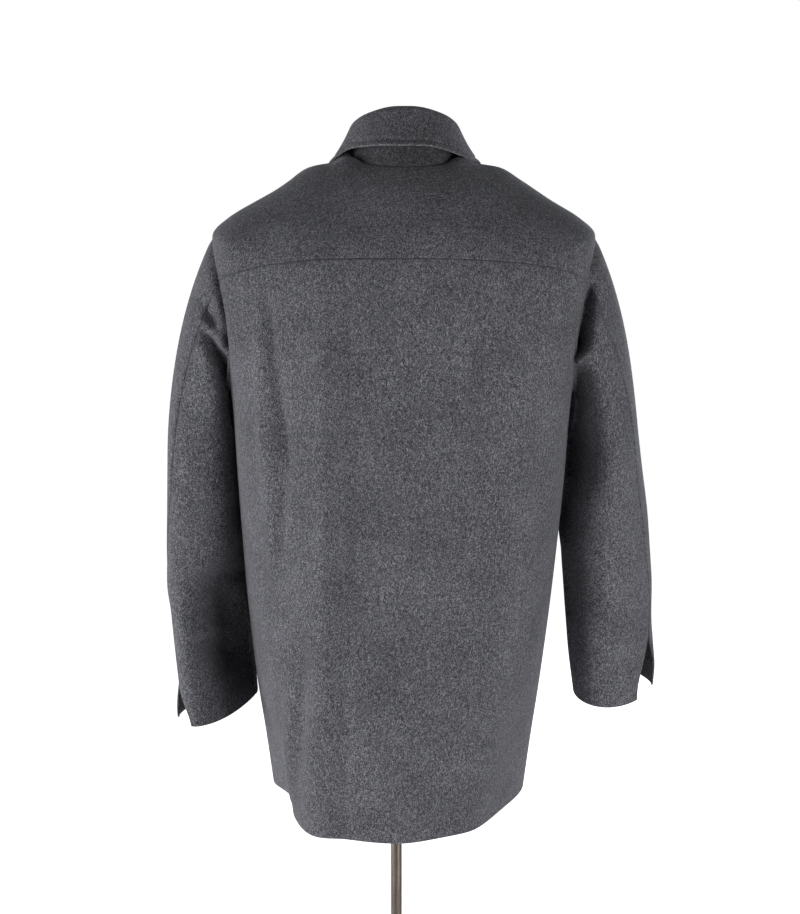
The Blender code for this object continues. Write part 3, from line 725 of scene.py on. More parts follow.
def frontGrid(piece, side):
    sideEdge = edgeThrough([(seamAngle, skirtPlaces), armhole(frontTurns), (seamAngle, shoulderPlaces)])
    chest = np.linspace(armpit, neck, len(frontTurns) + len(shoulderPlaces) + 1)[1:]
    places = np.concatenate([skirtPlaces, chest])
    centreEdge = edgeThrough([(centreFront + offCentre(coatBody["overlapHalf"], places), places)])
    s, t = gridShares(piece, seamAngle, piece["evenTo"])

    def straight(end):
        first, last = sideEdge(np.array((end,)))[0], centreEdge(np.array((end,)))[0]
        return lambda at: first + (last - first) * at[:, None]

    pairs = fillPatch(sideEdge, centreEdge, straight(0.0), straight(1.0), s, t)
    angle, place = side * pairs[..., 0], pairs[..., 1]
    lift = frontLift(angle, place) if side < 0 else 0.0
    return coatPoint(angle, place, lift), np.abs(angle)


def makeFront(name, node, side):
    grid, turn = frontGrid(frontPanels, side)
    line = frontPanels["stitchIn"], frontPanels["stitchWidth"], frontPanels["stitchDepth"]
    piece = dict(
        frontPanels, name=name, outward=side, sewn={"high": plainSeam, "left": plainSeam},
        stitched=(("right", *line),), turnUp=hemTurnUp,
        turnUpShare=1 - softStep(*coatBody["overlapSide"], turn))
    made, skin, normal = layCloth(piece, grid, greyWool)
    ridePiece(made, "wool", node)
    return made, skin, normal


coatFrontRight, _, _ = makeFront("coat_front_right", "front_right", 1)
coatFrontLeft, frontSkin, frontNormal = makeFront("coat_front_left", "front_left", -1)
print("fronts laid")

# Sleeves: sections below the cap, in distance out from the centre line
sleeveColumns = ("z", "midX", "midY", "halfX", "halfY", "skew", "turn", "riseX", "riseY", "square")
sleeveSet = {
    "right": (
        (1.100, 0.2735, 0.020, 0.0485, 0.080, -0.06, 18.0, 0.00, 0.00, 1.60),
        (1.000, 0.2785, 0.030, 0.0590, 0.076, 0.10, 34.0, 0.00, 0.02, 1.65),
        (0.900, 0.2855, 0.033, 0.0595, 0.071, 0.18, 46.0, 0.00, 0.08, 1.70),
        (0.830, 0.2895, 0.032, 0.0560, 0.066, 0.33, 50.0, 0.00, 0.15, 1.80),
        (0.767, 0.2915, 0.032, 0.0510, 0.060, 0.20, 48.0, 0.00, 0.20, 1.90),
    ),
    "left": (
        (1.100, 0.2655, 0.020, 0.0435, 0.068, 0.00, 10.0, 0.00, 0.00, 3.40),
        (1.000, 0.2645, 0.026, 0.0475, 0.068, -0.04, 22.0, 0.00, 0.02, 3.00),
        (0.945, 0.2635, 0.029, 0.0450, 0.069, -0.28, 29.0, 0.00, 0.04, 2.10),
        (0.890, 0.2595, 0.031, 0.0400, 0.070, -0.42, 36.0, -0.02, 0.08, 1.80),
        (0.820, 0.2540, 0.033, 0.0390, 0.067, -0.44, 42.0, -0.04, 0.12, 1.85),
        (0.742, 0.2475, 0.034, 0.0390, 0.064, -0.42, 46.0, -0.05, 0.18, 1.90),
    ),
    "capStart": (0.45, 0.0, -0.89),
    "smallDrop": 0.02,
    "frontSeam": -120.0,
    "ventTall": 0.085,
    # Edges of the open vent: turn of each round the sleeve, and rise and flare of the flap behind
    "ventTurn": {"left": {"under": 62.0, "top": 14.0}, "right": {"under": 26.0, "top": -30.0}},
    "ventReach": 140.0,
    "flapReach": 50.0,
    "flapRise": {"left": -0.002, "right": -0.006},
    "flapFlare": {"left": 0.010, "right": 0.009},
    "pitch": 0.0036, "thickness": coatBody["cloth"],
    "capRows": 0.20, "width": {"top": 0.24, "under": 0.20},
    "sleeveGap": 0.0003,
    # Creases round the sleeve: z, reach, place round it, spread, lean, height
    "rings": (
        (1.000, 0.024, 120.0, 60.0, 0.030, -0.0050),
        (0.955, 0.020, 100.0, 50.0, 0.025, 0.0040),
        (1.020, 0.026, 280.0, 50.0, -0.030, -0.0050),
        (0.900, 0.022, 300.0, 45.0, -0.020, -0.0040),
        (1.062, 0.020, 265.0, 48.0, 0.022, 0.0042),
        (0.960, 0.018, 250.0, 42.0, -0.018, 0.0036),
    ),
    # Hollows and creases seen from behind: x, z to x, z, half width, height
    "creases": {
        "left": (
            (-0.2440, 1.2980, -0.2280, 1.2620, 0.0090, -0.0120),
            (-0.2462, 1.2800, -0.2160, 1.2330, 0.0065, 0.0100),
            (-0.2400, 1.2620, -0.2250, 1.2250, 0.0090, -0.0240),
            (-0.2230, 1.2320, -0.2127, 1.1842, 0.0110, -0.0380),
            (-0.2150, 1.1900, -0.2060, 1.0689, 0.0095, -0.0350),
            (-0.2060, 1.0689, -0.2000, 0.9627, 0.0075, -0.0280),
            (-0.2650, 0.9520, -0.2160, 0.9370, 0.0078, 0.0040),
            (-0.2475, 0.9360, -0.2013, 0.9290, 0.0150, -0.0150),
            (-0.2330, 0.9090, -0.2180, 0.7870, 0.0240, -0.0380),
            (-0.2490, 0.9250, -0.2340, 0.7900, 0.0130, -0.0190),
            (-0.2100, 0.8450, -0.1960, 0.7200, 0.0260, -0.0220),
            (-0.2800, 0.8640, -0.2310, 0.8480, 0.0070, 0.0060),
            (-0.2555, 0.8400, -0.2310, 0.7980, 0.0120, -0.0200),
            (-0.1925, 0.9080, -0.2040, 0.8560, 0.0050, 0.0100),
            (-0.2850, 0.8970, -0.2730, 0.7710, 0.0117, 0.0030),
            (-0.2920, 1.0740, -0.2570, 1.0340, 0.0130, -0.0020),
        ),
        "right": (
            (0.2465, 1.3222, 0.2408, 1.2773, 0.0085, -0.0260),
            (0.2408, 1.2773, 0.2325, 1.2330, 0.0095, -0.0360),
            (0.2260, 1.2250, 0.2464, 1.2400, 0.0065, 0.0160),
            (0.2335, 1.2080, 0.2345, 1.1200, 0.0140, -0.0480),
            (0.2380, 1.1250, 0.2360, 1.0600, 0.0165, -0.0420),
            (0.2320, 1.0600, 0.2270, 0.9900, 0.0130, -0.0300),
            (0.2330, 0.9800, 0.2400, 0.8060, 0.0110, -0.0130),
            (0.2110, 1.0030, 0.2420, 0.9220, 0.0055, 0.0060),
            (0.2710, 1.1680, 0.2640, 1.0740, 0.0117, 0.0030),
            (0.2740, 0.9790, 0.3120, 0.9520, 0.0130, -0.0022),
            (0.2830, 0.8830, 0.3300, 0.8660, 0.0117, 0.0018),
        ),
    },
    # Cloth pressed against the body under the arm: z, reach, push
    "hug": {
        "left": ((1.020, 0.045, 0.0022), (1.140, 0.040, 0.0046)),
        "right": ((1.020, 0.060, 0.0032), (1.140, 0.040, 0.0042)),
    },
    "hugFacing": (0.2, 0.7),
    # How far a spot has to face back, and not too far towards the outside, to be creased
    "creaseBack": (0.0, 0.4), "creaseSide": (-0.90, -0.50), "creaseFade": 0.006,
    "turnUp": ("high", 0.032, 0.0016),
    "armholeDepth": 0.0045, "armholeReach": 0.0120, "armholeFade": (20.0, 65.0),
    "flat": {"top": (0.31, 0.65), "under": (0.30, 0.61)},
    "area": {"top": 0.119, "under": 0.092},
}


sideSign = {"left": -1, "right": 1}


def sleeveSwell(around, z):
    total = np.zeros(np.broadcast(around, z).shape)
    for middle, reach, angle, spread, lean, height in sleeveSet["rings"]:
        away = around180(around - angle)
        level = middle + lean * away / spread
        total = total + height * hump(away, 2 * spread) * hump(z - level, 2 * reach)
    return total


def sleevePoint(table, side, turn, z, opened=0.0):
    turn, z = np.broadcast_arrays(np.asarray(turn, float), np.asarray(z, float))
    size = {name: smoothCurve(-table["z"], table[name], -z) for name in sleeveColumns}
    around = turn - size["turn"] + opened
    bend = np.radians(around)
    swell = sleeveSwell(around, z)
    sine, cosine = np.sin(bend), np.cos(bend)
    reach = (np.abs(sine) ** size["square"] + np.abs(cosine) ** size["square"]) ** (-1 / size["square"])
    along = -(size["halfY"] + swell) * sine * reach
    across = (size["halfX"] + swell) * cosine * reach + size["skew"] * along
    rise = size["riseX"] * across + size["riseY"] * along
    return np.stack([side * (size["midX"] + across) + hangShift, size["midY"] + along, z + rise], -1)


def sleeveGrid(sideName, turns, part):
    side = sideSign[sideName]
    table = readTable(sleeveColumns, sleeveSet[sideName])
    elbow, cuff = table["z"][0], table["z"][-1]
    capLength = sleeveSet["capRows"]
    length = capLength + elbow - cuff
    rows = edgeSpaced(length, sleeveSet["pitch"]) * length
    cap = rows[rows < capLength] / capLength
    lower = elbow - (rows[rows >= capLength] - capLength)
    angle, place = armhole(turns)
    under = (1 - np.cos(np.radians(turns))) / 2
    start = coatPoint(side * angle, place, under * (coatBody["cloth"] + sleeveSet["sleeveGap"]))
    end = sleevePoint(table, side, turns, elbow)
    after = sleevePoint(table, side, turns, elbow - sleeveSet["smallDrop"])
    reach = np.linalg.norm(end - start, axis=1, keepdims=True)
    pull = unit(np.array(sleeveSet["capStart"]) * np.array((side, 1, 1))) * reach
    leave = unit(after - end) * reach
    t = cap[:, None, None]
    head = start * ((1 + 2 * t) * (1 - t) ** 2) + pull * (t * (1 - t) ** 2)
    head = head + end * (t * t * (3 - 2 * t)) + leave * (t * t * (t - 1))
    past = around180(turns - yokeTurn)[None, :]
    ventOpen = softStep(cuff + sleeveSet["ventTall"], cuff, lower)[:, None]
    turned = ventOpen * sleeveSet["ventTurn"][sideName][part] * hump(past, sleeveSet["ventReach"])
    arm = sleevePoint(table, side, turns[None, :], lower[:, None], turned)
    if part == "top":
        flap = ventOpen * hump(past, sleeveSet["flapReach"])
        moved = side * sleeveSet["flapFlare"][sideName], 0.0, sleeveSet["flapRise"][sideName]
        arm = arm + flap[..., None] * np.array(moved)
    return np.concatenate([head, arm])


def makeSleevePiece(sideName, part, fromTurn, toTurn):
    side = sideSign[sideName]
    shares = edgeSpaced(sleeveSet["width"][part], sleeveSet["pitch"])
    turns = fromTurn + (toTurn - fromTurn) * shares
    grid = sleeveGrid(sideName, turns, part)
    facing = gridNormals(grid, -side)
    towardsBody = softStep(*sleeveSet["hugFacing"], -side * facing[..., 0])
    for middle, reach, push in sleeveSet["hug"][sideName]:
        grid[..., 0] -= side * push * towardsBody * hump(grid[..., 2] - middle, reach)
    behind = softStep(*sleeveSet["creaseBack"], -facing[..., 1])
    behind = behind * softStep(*sleeveSet["creaseSide"], -side * facing[..., 0])
    creased = strokeHeight(grid[..., 0], grid[..., 2], sleeveSet["creases"][sideName]) * behind
    grid[..., 1] -= creased * softStep(0.0, sleeveSet["creaseFade"], edgeDistances(grid)["low"])
    underShoulder = softStep(*sleeveSet["armholeFade"], np.abs(around180(turns)))
    armholeSink = plainSeam[0] + (sleeveSet["armholeDepth"] - plainSeam[0]) * underShoulder
    node = "sleeve_" + sideName + "_" + part
    piece = {
        "name": "coat_" + node, "thickness": sleeveSet["thickness"], "outward": -side,
        "sewn": {"low": (armholeSink, sleeveSet["armholeReach"]), "left": plainSeam, "right": plainSeam},
        "turnUp": sleeveSet["turnUp"],
    }
    made, _, _ = layCloth(piece, grid, greyWool)
    return ridePiece(made, "wool", node)


for sideName in ("left", "right"):
    backSeam, frontSeam = yokeTurn, sleeveSet["frontSeam"]
    makeSleevePiece(sideName, "top", backSeam, frontSeam)
    makeSleevePiece(sideName, "under", frontSeam, backSeam - 360.0)
print("sleeves laid")

# Collar: a stand round the neck and a fall over it
collarColumns = ("angle", "stand", "lean", "drop", "out")
collarSet = {
    "rows": (
        (0.0, 0.0685, -0.025, 0.0485, 0.0310),
        (22.0, 0.0665, -0.023, 0.0485, 0.0310),
        (48.0, 0.0562, -0.016, 0.0512, 0.0280),
        (70.0, 0.0445, -0.012, 0.0495, 0.0270),
        (90.0, 0.0300, -0.010, 0.0355, 0.0260),
        (110.0, 0.0300, -0.007, 0.0370, 0.0300),
        (130.0, 0.0320, -0.002, 0.0520, 0.0340),
        (165.0, 0.0300, 0.006, 0.0680, 0.0400),
    ),
    "end": 165.0, "thickness": 0.0030, "pitch": 0.0028, "length": 0.60,
    "seamGap": -0.0014, "rollGap": 0.0014, "rollRadius": 0.0060, "rollTurn": 140.0,
    "bow": 0.25, "pointSpread": 0.016, "pointReach": 50.0,
    # The fall sits higher at the left back
    "shortAngle": -56.0, "shortSpread": 25.0, "shortBy": 0.20,
    "rollSteps": 16, "fallSteps": 50, "evenSteps": 80,
    "standTall": 0.045, "fallLong": 0.070, "fallSmooth": 14,
    "stitchIn": 0.0085, "stitchWidth": 0.0034, "stitchDepth": 0.0018,
    "flatStand": (0.505, 0.071), "areaStand": 0.0184,
    "flatFall": (0.690, 0.095), "areaFall": 0.0378,
}
mirroredRow = (-collarSet["rows"][1][0], *collarSet["rows"][1][1:])     # keeps the centre back level
collarTable = readTable(collarColumns, (mirroredRow, *collarSet["rows"]))


def collarSize(name, angle):
    return smoothCurve(collarTable["angle"], collarTable[name], np.abs(angle))[..., None]


def collarFrame(angle):
    place = neck + 0 * angle
    lift = np.where(angle < 0, frontLift(angle, place), 0.0)
    base = ringPoint(coatRings, angle, place) + ringNormal(coatRings, angle, place) * lift[..., None]
    along = ringPoint(coatRings, angle + 1, neck) - ringPoint(coatRings, angle - 1, neck)
    along = unit(along * np.array((1.0, 1.0, 0.0)))
    return base, np.cross(along, upright), along


def standPoint(angle, t):
    base, out, _ = collarFrame(angle)
    height = collarSet["seamGap"] + collarSet["thickness"] / 2 + collarSize("stand", angle) * t
    return base + out * collarSize("lean", angle) * t + upright * height


def fallSection(angle, share):
    # share runs 0 to 1 over the roll and 1 to 2 down the fall
    _, out, along = collarFrame(angle)
    top = standPoint(angle, 1.0) + upright * collarSet["rollGap"]
    rolled = math.radians(collarSet["rollTurn"]) * min(share, 1.0)
    point = top + (out * (1 - math.cos(rolled)) + upright * math.sin(rolled)) * collarSet["rollRadius"]
    aside = (angle - collarSet["shortAngle"]) / collarSet["shortSpread"]
    t = max(0.0, share - 1.0) * (1 - collarSet["shortBy"] * np.exp(-aside ** 2))[:, None]
    nearEnd = softStep(collarSet["end"] - collarSet["pointReach"], collarSet["end"], np.abs(angle))[:, None]
    point = point + out * collarSize("out", angle) * (t - collarSet["bow"] * t * (1 - t))
    point = point - upright * collarSize("drop", angle) * t
    return point - along * np.sign(angle)[:, None] * collarSet["pointSpread"] * t * nearEnd


def resampleRows(rows, shares):
    # Even the rows out along each column, then read them at the shares
    run = np.concatenate([[0.0], np.cumsum(np.linalg.norm(np.diff(rows, axis=0), axis=2).mean(1))])
    at = shares * run[-1]
    k = np.clip(np.searchsorted(run, at, side="right") - 1, 0, len(run) - 2)
    t = ((at - run[k]) / (run[k + 1] - run[k]))[:, None, None]
    return rows[k] * (1 - t) + rows[k + 1] * t


collarAngles = collarSet["end"] * (2 * edgeSpaced(collarSet["length"], collarSet["pitch"]) - 1)
standRows = edgeSpaced(collarSet["standTall"], collarSet["pitch"])
standGrid = np.stack([standPoint(collarAngles, t) for t in standRows])
standPiece = {"name": "collar_stand_band", "thickness": collarSet["thickness"], "sewn": {"low": plainSeam}}
# The stand wears the wool with painted shade
collarStand, _, _ = layCloth(standPiece, standGrid, paintedShadeWool)
ridePiece(collarStand, "wool", "collar_stand")
sectionShares = np.concatenate([
    np.linspace(0.0, 1.0, collarSet["rollSteps"]), np.linspace(1.0, 2.0, collarSet["fallSteps"])[1:]])
fallRows = np.stack([fallSection(collarAngles, share) for share in sectionShares])
fallRows = resampleRows(fallRows, np.linspace(0.0, 1.0, collarSet["evenSteps"]))
for _ in range(collarSet["fallSmooth"]):
    fallRows[1:-1] += (fallRows[2:] - 2 * fallRows[1:-1] + fallRows[:-2]) / 4
fallGrid = resampleRows(fallRows, edgeSpaced(collarSet["fallLong"], collarSet["pitch"]))
stitchLine = collarSet["stitchIn"], collarSet["stitchWidth"], collarSet["stitchDepth"]
fallPiece = {
    "name": "collar_fall_leaf", "thickness": collarSet["thickness"], "outward": -1,
    "stitched": [(edge, *stitchLine) for edge in ("high", "left", "right")],
}
collarFall, fallSkin, fallNormal = layCloth(fallPiece, fallGrid, greyWool)
ridePiece(collarFall, "wool", "collar_fall")
print("collar laid")

# Sewing thread, laid as short round strands that end inside the cloth
threadFinish = {
    "dark": (0.040, 0.040, 0.044, 1.0),
    "light": (0.120, 0.120, 0.130, 1.0),
    "roughness": 0.62,
    "twist": (1400.0, 2.0, 0.6),        # scale, detail and roughness
    "tone": (0.35, 0.68),
    "bump": 0.35,
    "bumpDepth": 0.0002,
}


def threadMaterial(name, finish):
    made, tree, shader = startMaterial(name)
    ply = noiseAt(tree, objectPlace(tree), *finish["twist"], -650, 0)
    tone = rangeNode(tree, ply, finish["tone"], -450, 0)
    feed(tree, shader, {
        "Base Color": mixColour(tree, tone, finish["dark"], finish["light"], -200, 100),
        "Roughness": finish["roughness"], "Normal": bumpFrom(tree, ply, finish)})
    return made


greyThread = threadMaterial("grey_thread", threadFinish)
strandTip = 0.6             # how far a strand's point stands out, in radii


def endCaps(first, firstAfter, last, lastAfter, tip):
    # Triangles from the first and the last ring of a skin to the two points at its ends
    low = np.stack([np.full(len(first), tip), first, firstAfter], -1)
    high = np.stack([np.full(len(first), tip + 1), lastAfter, last], -1)
    return np.concatenate([low, high])


def strandMesh(name, lines, outward, radii, sides):
    # lines holds the middle points of each strand, outward the way out of the cloth
    count, long = lines.shape[:2]
    along = unit(np.gradient(lines, axis=1))
    across = unit(np.cross(along, outward))
    above = np.cross(across, along)
    turn = 2 * np.pi * np.arange(sides) / sides
    ring = across[:, :, None] * np.cos(turn)[:, None] + above[:, :, None] * np.sin(turn)[:, None]
    walls = lines[:, :, None] + ring * radii[None, :, None, None]
    past = np.array((-strandTip, strandTip)) * radii[[0, -1]]
    tips = lines[:, [0, -1]] + along[:, [0, -1]] * past[:, None]
    points = np.concatenate([walls.reshape(count, -1, 3), tips], axis=1)
    index = np.arange(long * sides).reshape(long, sides)
    after = np.roll(index, -1, axis=1)
    quads = np.stack([index[:-1], index[1:], after[1:], after[:-1]], -1).reshape(-1, 4)
    caps = endCaps(index[0], after[0], index[-1], after[-1], long * sides)
    starts = np.arange(count)[:, None, None] * points.shape[1]
    faces = (quads + starts).reshape(-1, 4).tolist() + (caps + starts).reshape(-1, 3).tolist()
    return meshFrom(name, points.reshape(-1, 3), faces)


topStitch = {
    "pitch": 0.0040, "long": 0.0033, "radius": 0.00026, "sides": 6, "points": 7,
    "rise": 0.00022, "sink": 0.00040, "endThin": 0.45,
}


def seamLine(skin, normal, edge, distance, others):
    # The points of a skin that lie a distance in from one of its edges
    away = edgeDistances(skin)
    share = away[edge]
    clear = np.minimum.reduce([away[other] for other in others]) if others else 1 + 0 * share
    if edge in ("left", "right"):
        share, clear = share.T, clear.T
        skin, normal = skin.transpose(1, 0, 2), normal.transpose(1, 0, 2)
    places, ways = [], []
    for k in range(share.shape[1]):
        order = np.argsort(share[:, k])
        at = np.interp(distance, share[order, k], order)
        low = min(int(at), share.shape[0] - 2)
        t = at - low
        if clear[low, k] < distance:
            continue
        places.append(skin[low, k] * (1 - t) + skin[low + 1, k] * t)
        ways.append(normal[low, k] * (1 - t) + normal[low + 1, k] * t)
    return np.array(places), np.array(ways)


def stitchReach(stitch):
    return np.linspace(-1.0, 1.0, stitch["points"])


def stitchLift(stitch):
    # A stitch stands out in its middle and sinks in at its ends
    return stitch["rise"] - (stitch["rise"] + stitch["sink"]) * stitchReach(stitch) ** 4


def sewStrands(name, lines, outward, stitch):
    radii = stitch["radius"] * (1 - stitch["endThin"] * stitchReach(stitch) ** 4)
    made = linkObject(name, strandMesh(name, lines, outward, radii, stitch["sides"]), greyThread)
    return ridePiece(made, "wool")


def stitchLines(places, ways, stitch):
    run = runLength(places)
    centres = np.arange(stitch["pitch"] / 2, run[-1], stitch["pitch"])
    at = centres[:, None] + stitchReach(stitch) * stitch["long"] / 2
    lines = np.stack([np.interp(at, run, places[:, k]) for k in range(3)], -1)
    outward = unit(np.stack([np.interp(at, run, ways[:, k]) for k in range(3)], -1))
    return lines + outward * stitchLift(stitch)[:, None], outward


def sewRows(name, rows, stitch):
    laid = [stitchLines(places, ways, stitch) for places, ways in rows]
    lines, outward = (np.concatenate(parts) for parts in zip(*laid))
    return sewStrands(name, lines, outward, stitch)


fallStitches = sewRows("collar_topstitch", [
    seamLine(fallSkin, fallNormal, "high", collarSet["stitchIn"], ("left", "right")),
    seamLine(fallSkin, fallNormal, "left", collarSet["stitchIn"], ("high",)),
    seamLine(fallSkin, fallNormal, "right", collarSet["stitchIn"], ("high",)),
], topStitch)
frontStitches = sewRows("front_topstitch", [
    seamLine(frontSkin, frontNormal, "right", frontPanels["stitchIn"], ()),
], topStitch)
print("topstitching sewn")


# Horn buttons with four holes, sewn through to the left front
def roundMesh(name, rings):
    # A closed skin over rings of points, its two ends drawn to their middles
    count, sides = rings.shape[:2]
    index = np.arange(count * sides).reshape(count, sides)
    after = np.roll(index, -1, axis=1)
    quads = np.stack([index[:-1], after[:-1], after[1:], index[1:]], -1).reshape(-1, 4)
    caps = endCaps(after[0], index[0], after[-1], index[-1], count * sides)
    points = np.concatenate([rings.reshape(-1, 3), rings[[0, -1]].mean(axis=1)])
    return meshFrom(name, points, quads.tolist() + caps.tolist())


def turnedRings(profile, sides):
    # Rings of a turned shape from its radius and height pairs
    profile = np.array(profile)
    turn = 2 * np.pi * np.arange(sides) / sides
    circle = np.stack([np.cos(turn), np.sin(turn), 0 * turn], -1)
    return profile[:, None, :1] * circle + profile[:, None, 1:] * upright


def roundedProfile(points, steps):
    # A smooth profile through a few radius and height pairs
    points = np.array(points)
    share = runLength(points)
    at = np.linspace(0.0, share[-1], steps)
    return np.stack([smoothCurve(share, points[:, 0], at), smoothCurve(share, points[:, 1], at)], -1)


buttonSet = {
    "heights": (1.300, 1.155, 1.010, 0.865),
    "profile": (
        (0.0090, 0.0000), (0.0106, 0.0002), (0.0118, 0.0009), (0.0125, 0.0020), (0.0122, 0.0031),
        (0.0112, 0.0039), (0.0100, 0.0040), (0.0089, 0.0034), (0.0076, 0.0028), (0.0050, 0.0026),
        (0.0010, 0.0026),
    ),
    "profileSteps": 46, "sides": 72,
    "holeRadius": 0.00105, "holeOut": 0.0019, "holeSides": 20, "drillLong": 0.02,
    "sharpAngle": 40.0, "standOff": 0.0002, "weld": 2e-6, "sliver": 1e-6,
    "strandRadius": 0.00030, "strandSides": 8, "strandsEach": 3, "strandSpread": 0.00042,
    "strandRise": 0.0006, "strandPoints": 11, "strandReach": 1.35,
    "strandDip": (0.55, 1.0), "strandDeep": 0.0016,
    "dark": (0.010, 0.009, 0.008, 1.0), "streak": (0.085, 0.066, 0.050, 1.0), "pale": (0.20, 0.17, 0.14, 1.0),
    "grain": ((1.0, 0.28, 1.0), 520.0, 140.0),      # stretch, fine and broad
    "streaks": (0.46, 0.72), "flecks": (0.62, 0.80), "rough": (0.3, 0.7, 0.24, 0.40),
    "bump": 0.08, "bumpDepth": 0.0002, "coat": 0.35, "coatRoughness": 0.2,
}
grainLook = {"distortion": 0.6, "lineDetail": 4.0, "cloudDetail": 3.0}


def grainGroup(look):
    # Long fine lines, for horn and for brushed metal
    tree, given, put = newGroup(
        "longGrain",
        (("Place", "NodeSocketVector", None), ("Stretch", "NodeSocketVector", (1.0, 1.0, 1.0)),
         ("Fine", "NodeSocketFloat", 100.0), ("Broad", "NodeSocketFloat", 20.0)),
        (("Lines", "NodeSocketFloat"), ("Clouds", "NodeSocketFloat")))
    drawn = addNode(tree, "ShaderNodeVectorMath", -650, 0, operation="MULTIPLY")
    feed(tree, drawn, {0: given.outputs["Place"], 1: given.outputs["Stretch"]})
    noises = ("Lines", "Fine", "lineDetail", 150), ("Clouds", "Broad", "cloudDetail", -150)
    for label, size, detail, y in noises:
        node = addNode(tree, "ShaderNodeTexNoise", -300, y)
        feed(tree, node, {
            "Vector": drawn.outputs[0], "Scale": given.outputs[size],
            "Detail": look[detail], "Distortion": look["distortion"]})
        feed(tree, put, {label: node.outputs["Fac"]})
    return tree


longGrain = grainGroup(grainLook)


def grainNode(tree, stretch, fine, broad):
    group = addNode(tree, "ShaderNodeGroup", -650, 0, node_tree=longGrain)
    feed(tree, group, {"Place": objectPlace(tree), "Stretch": stretch, "Fine": fine, "Broad": broad})
    return group.outputs["Lines"], group.outputs["Clouds"]


def hornMaterial(name, look):
    made, tree, shader = startMaterial(name)
    lines, clouds = grainNode(tree, *look["grain"])
    streaks = rangeNode(tree, clouds, look["streaks"], -400, 200)
    colour = mixColour(tree, streaks, look["dark"], look["streak"], -200, 200)
    flecks = rangeNode(tree, lines, look["flecks"], -400, 0)
    feed(tree, shader, {
        "Base Color": mixColour(tree, flecks, colour, look["pale"], 0, 200),
        "Roughness": rangeNode(tree, lines, look["rough"], -200, -100),
        "Normal": bumpFrom(tree, lines, look),
        "Coat Weight": look["coat"], "Coat Roughness": look["coatRoughness"]})
    return made


darkHorn = hornMaterial("dark_horn", buttonSet)


def fourHoles(look):
    angles = math.pi / 4 + math.pi / 2 * np.arange(4)
    return np.stack([np.cos(angles), np.sin(angles)], -1) * look["holeOut"]


def makeButtonMesh(look):
    profile = roundedProfile(look["profile"], look["profileSteps"])
    body = roundMesh("button_body", turnedRings(profile, look["sides"]))
    blank = linkObject("button_blank", body, darkHorn)
    drillShape = bmesh.new()
    for x, y in fourHoles(look):
        made = bmesh.ops.create_cone(
            drillShape, cap_ends=True, segments=look["holeSides"], radius1=look["holeRadius"],
            radius2=look["holeRadius"], depth=look["drillLong"])
        bmesh.ops.translate(drillShape, verts=made["verts"], vec=(x, y, 0.0))
    drillMesh = bpy.data.meshes.new("button_drill")
    drillShape.to_mesh(drillMesh)
    drillShape.free()
    drill = linkObject("button_drill", drillMesh, darkHorn)
    cut = blank.modifiers.new("holes", "BOOLEAN")
    cut.object = drill
    cut.operation = "DIFFERENCE"
    cut.solver = "EXACT"
    seen = bpy.context.evaluated_depsgraph_get()
    mesh = bpy.data.meshes.new_from_object(blank.evaluated_get(seen))
    mesh.name = "horn_button"
    clean = bmesh.new()
    clean.from_mesh(mesh)
    bmesh.ops.remove_doubles(clean, verts=clean.verts, dist=look["weld"])
    bmesh.ops.dissolve_degenerate(clean, edges=clean.edges, dist=look["sliver"])
    bmesh.ops.triangulate(clean, faces=clean.faces)
    bmesh.ops.holes_fill(clean, edges=[edge for edge in clean.edges if edge.is_boundary], sides=0)
    clean.to_mesh(mesh)
    clean.free()
    mesh.set_sharp_from_angle(angle=math.radians(look["sharpAngle"]))
    bpy.data.objects.remove(blank, do_unlink=True)
    bpy.data.objects.remove(drill, do_unlink=True)
    return mesh


def frontSpot(x, z):
    # Angle and place of a spot on the front, from its distance off the centre line and its height
    angle = centreFront - offCentre(np.abs(x), placeAt(centreFront, z)) * np.sign(x)
    return angle, placeAt(angle, z)


topSide = coatBody["overlapLift"] + coatBody["cloth"] / 2      # of the left front, over the right one


def onFront(x, z, lift):
    angle, place = frontSpot(x, z)
    return coatPoint(angle, place, topSide + lift), ringNormal(coatRings, angle, place)


def sewingBars(look):
    # Two bars of thread across the button, down through its holes into the cloth
    share = np.linspace(-1.0, 1.0, look["strandPoints"])
    holes = fourHoles(look)
    top = look["profile"][-1][1]
    lines = []
    for first, last in ((holes[0], holes[3]), (holes[1], holes[2])):
        middle, reach = (first + last) / 2, (last - first) / 2
        aside = np.array((-reach[1], reach[0])) / np.linalg.norm(reach)
        for k in range(look["strandsEach"]):
            slip = (k - (look["strandsEach"] - 1) / 2) * look["strandSpread"]
            bent = np.clip(share * look["strandReach"], -1.0, 1.0)
            flat = middle + reach * bent[:, None] + aside * slip
            down = softStep(*look["strandDip"], np.abs(share))
            height = top + look["strandRise"] * (1 - share ** 2 / 2) - (top + look["strandDeep"]) * down
            lines.append(np.concatenate([flat, height[:, None]], axis=1))
    return np.array(lines)


buttonMesh = makeButtonMesh(buttonSet)
buttonBars = sewingBars(buttonSet)
buttons = []
for number, height in enumerate(buttonSet["heights"], 1):
    place = float(placeAt(centreFront, height))
    seat = coatPoint(centreFront, place, topSide + buttonSet["standOff"])
    facing = Vector(ringNormal(coatRings, centreFront, place)).to_track_quat("Z", "Y")
    node = "button_" + str(number)
    button = bpy.data.objects.new("horn_" + node, buttonMesh.copy())
    bpy.context.scene.collection.objects.link(button)
    button.matrix_world = Matrix.LocRotScale(Vector(seat), facing, None)
    ridePiece(button, "button", node)
    turned = np.array(facing.to_matrix())
    lines = buttonBars @ turned.T + seat
    bars = strandMesh(
        node + "_thread", lines, np.broadcast_to(turned[:, 1], lines.shape),
        np.full(buttonSet["strandPoints"], buttonSet["strandRadius"]), buttonSet["strandSides"])
    thread = ridePiece(linkObject(node + "_thread", bars, greyThread), "wool")
    buttons += [button, thread]
print("buttons sewn on")

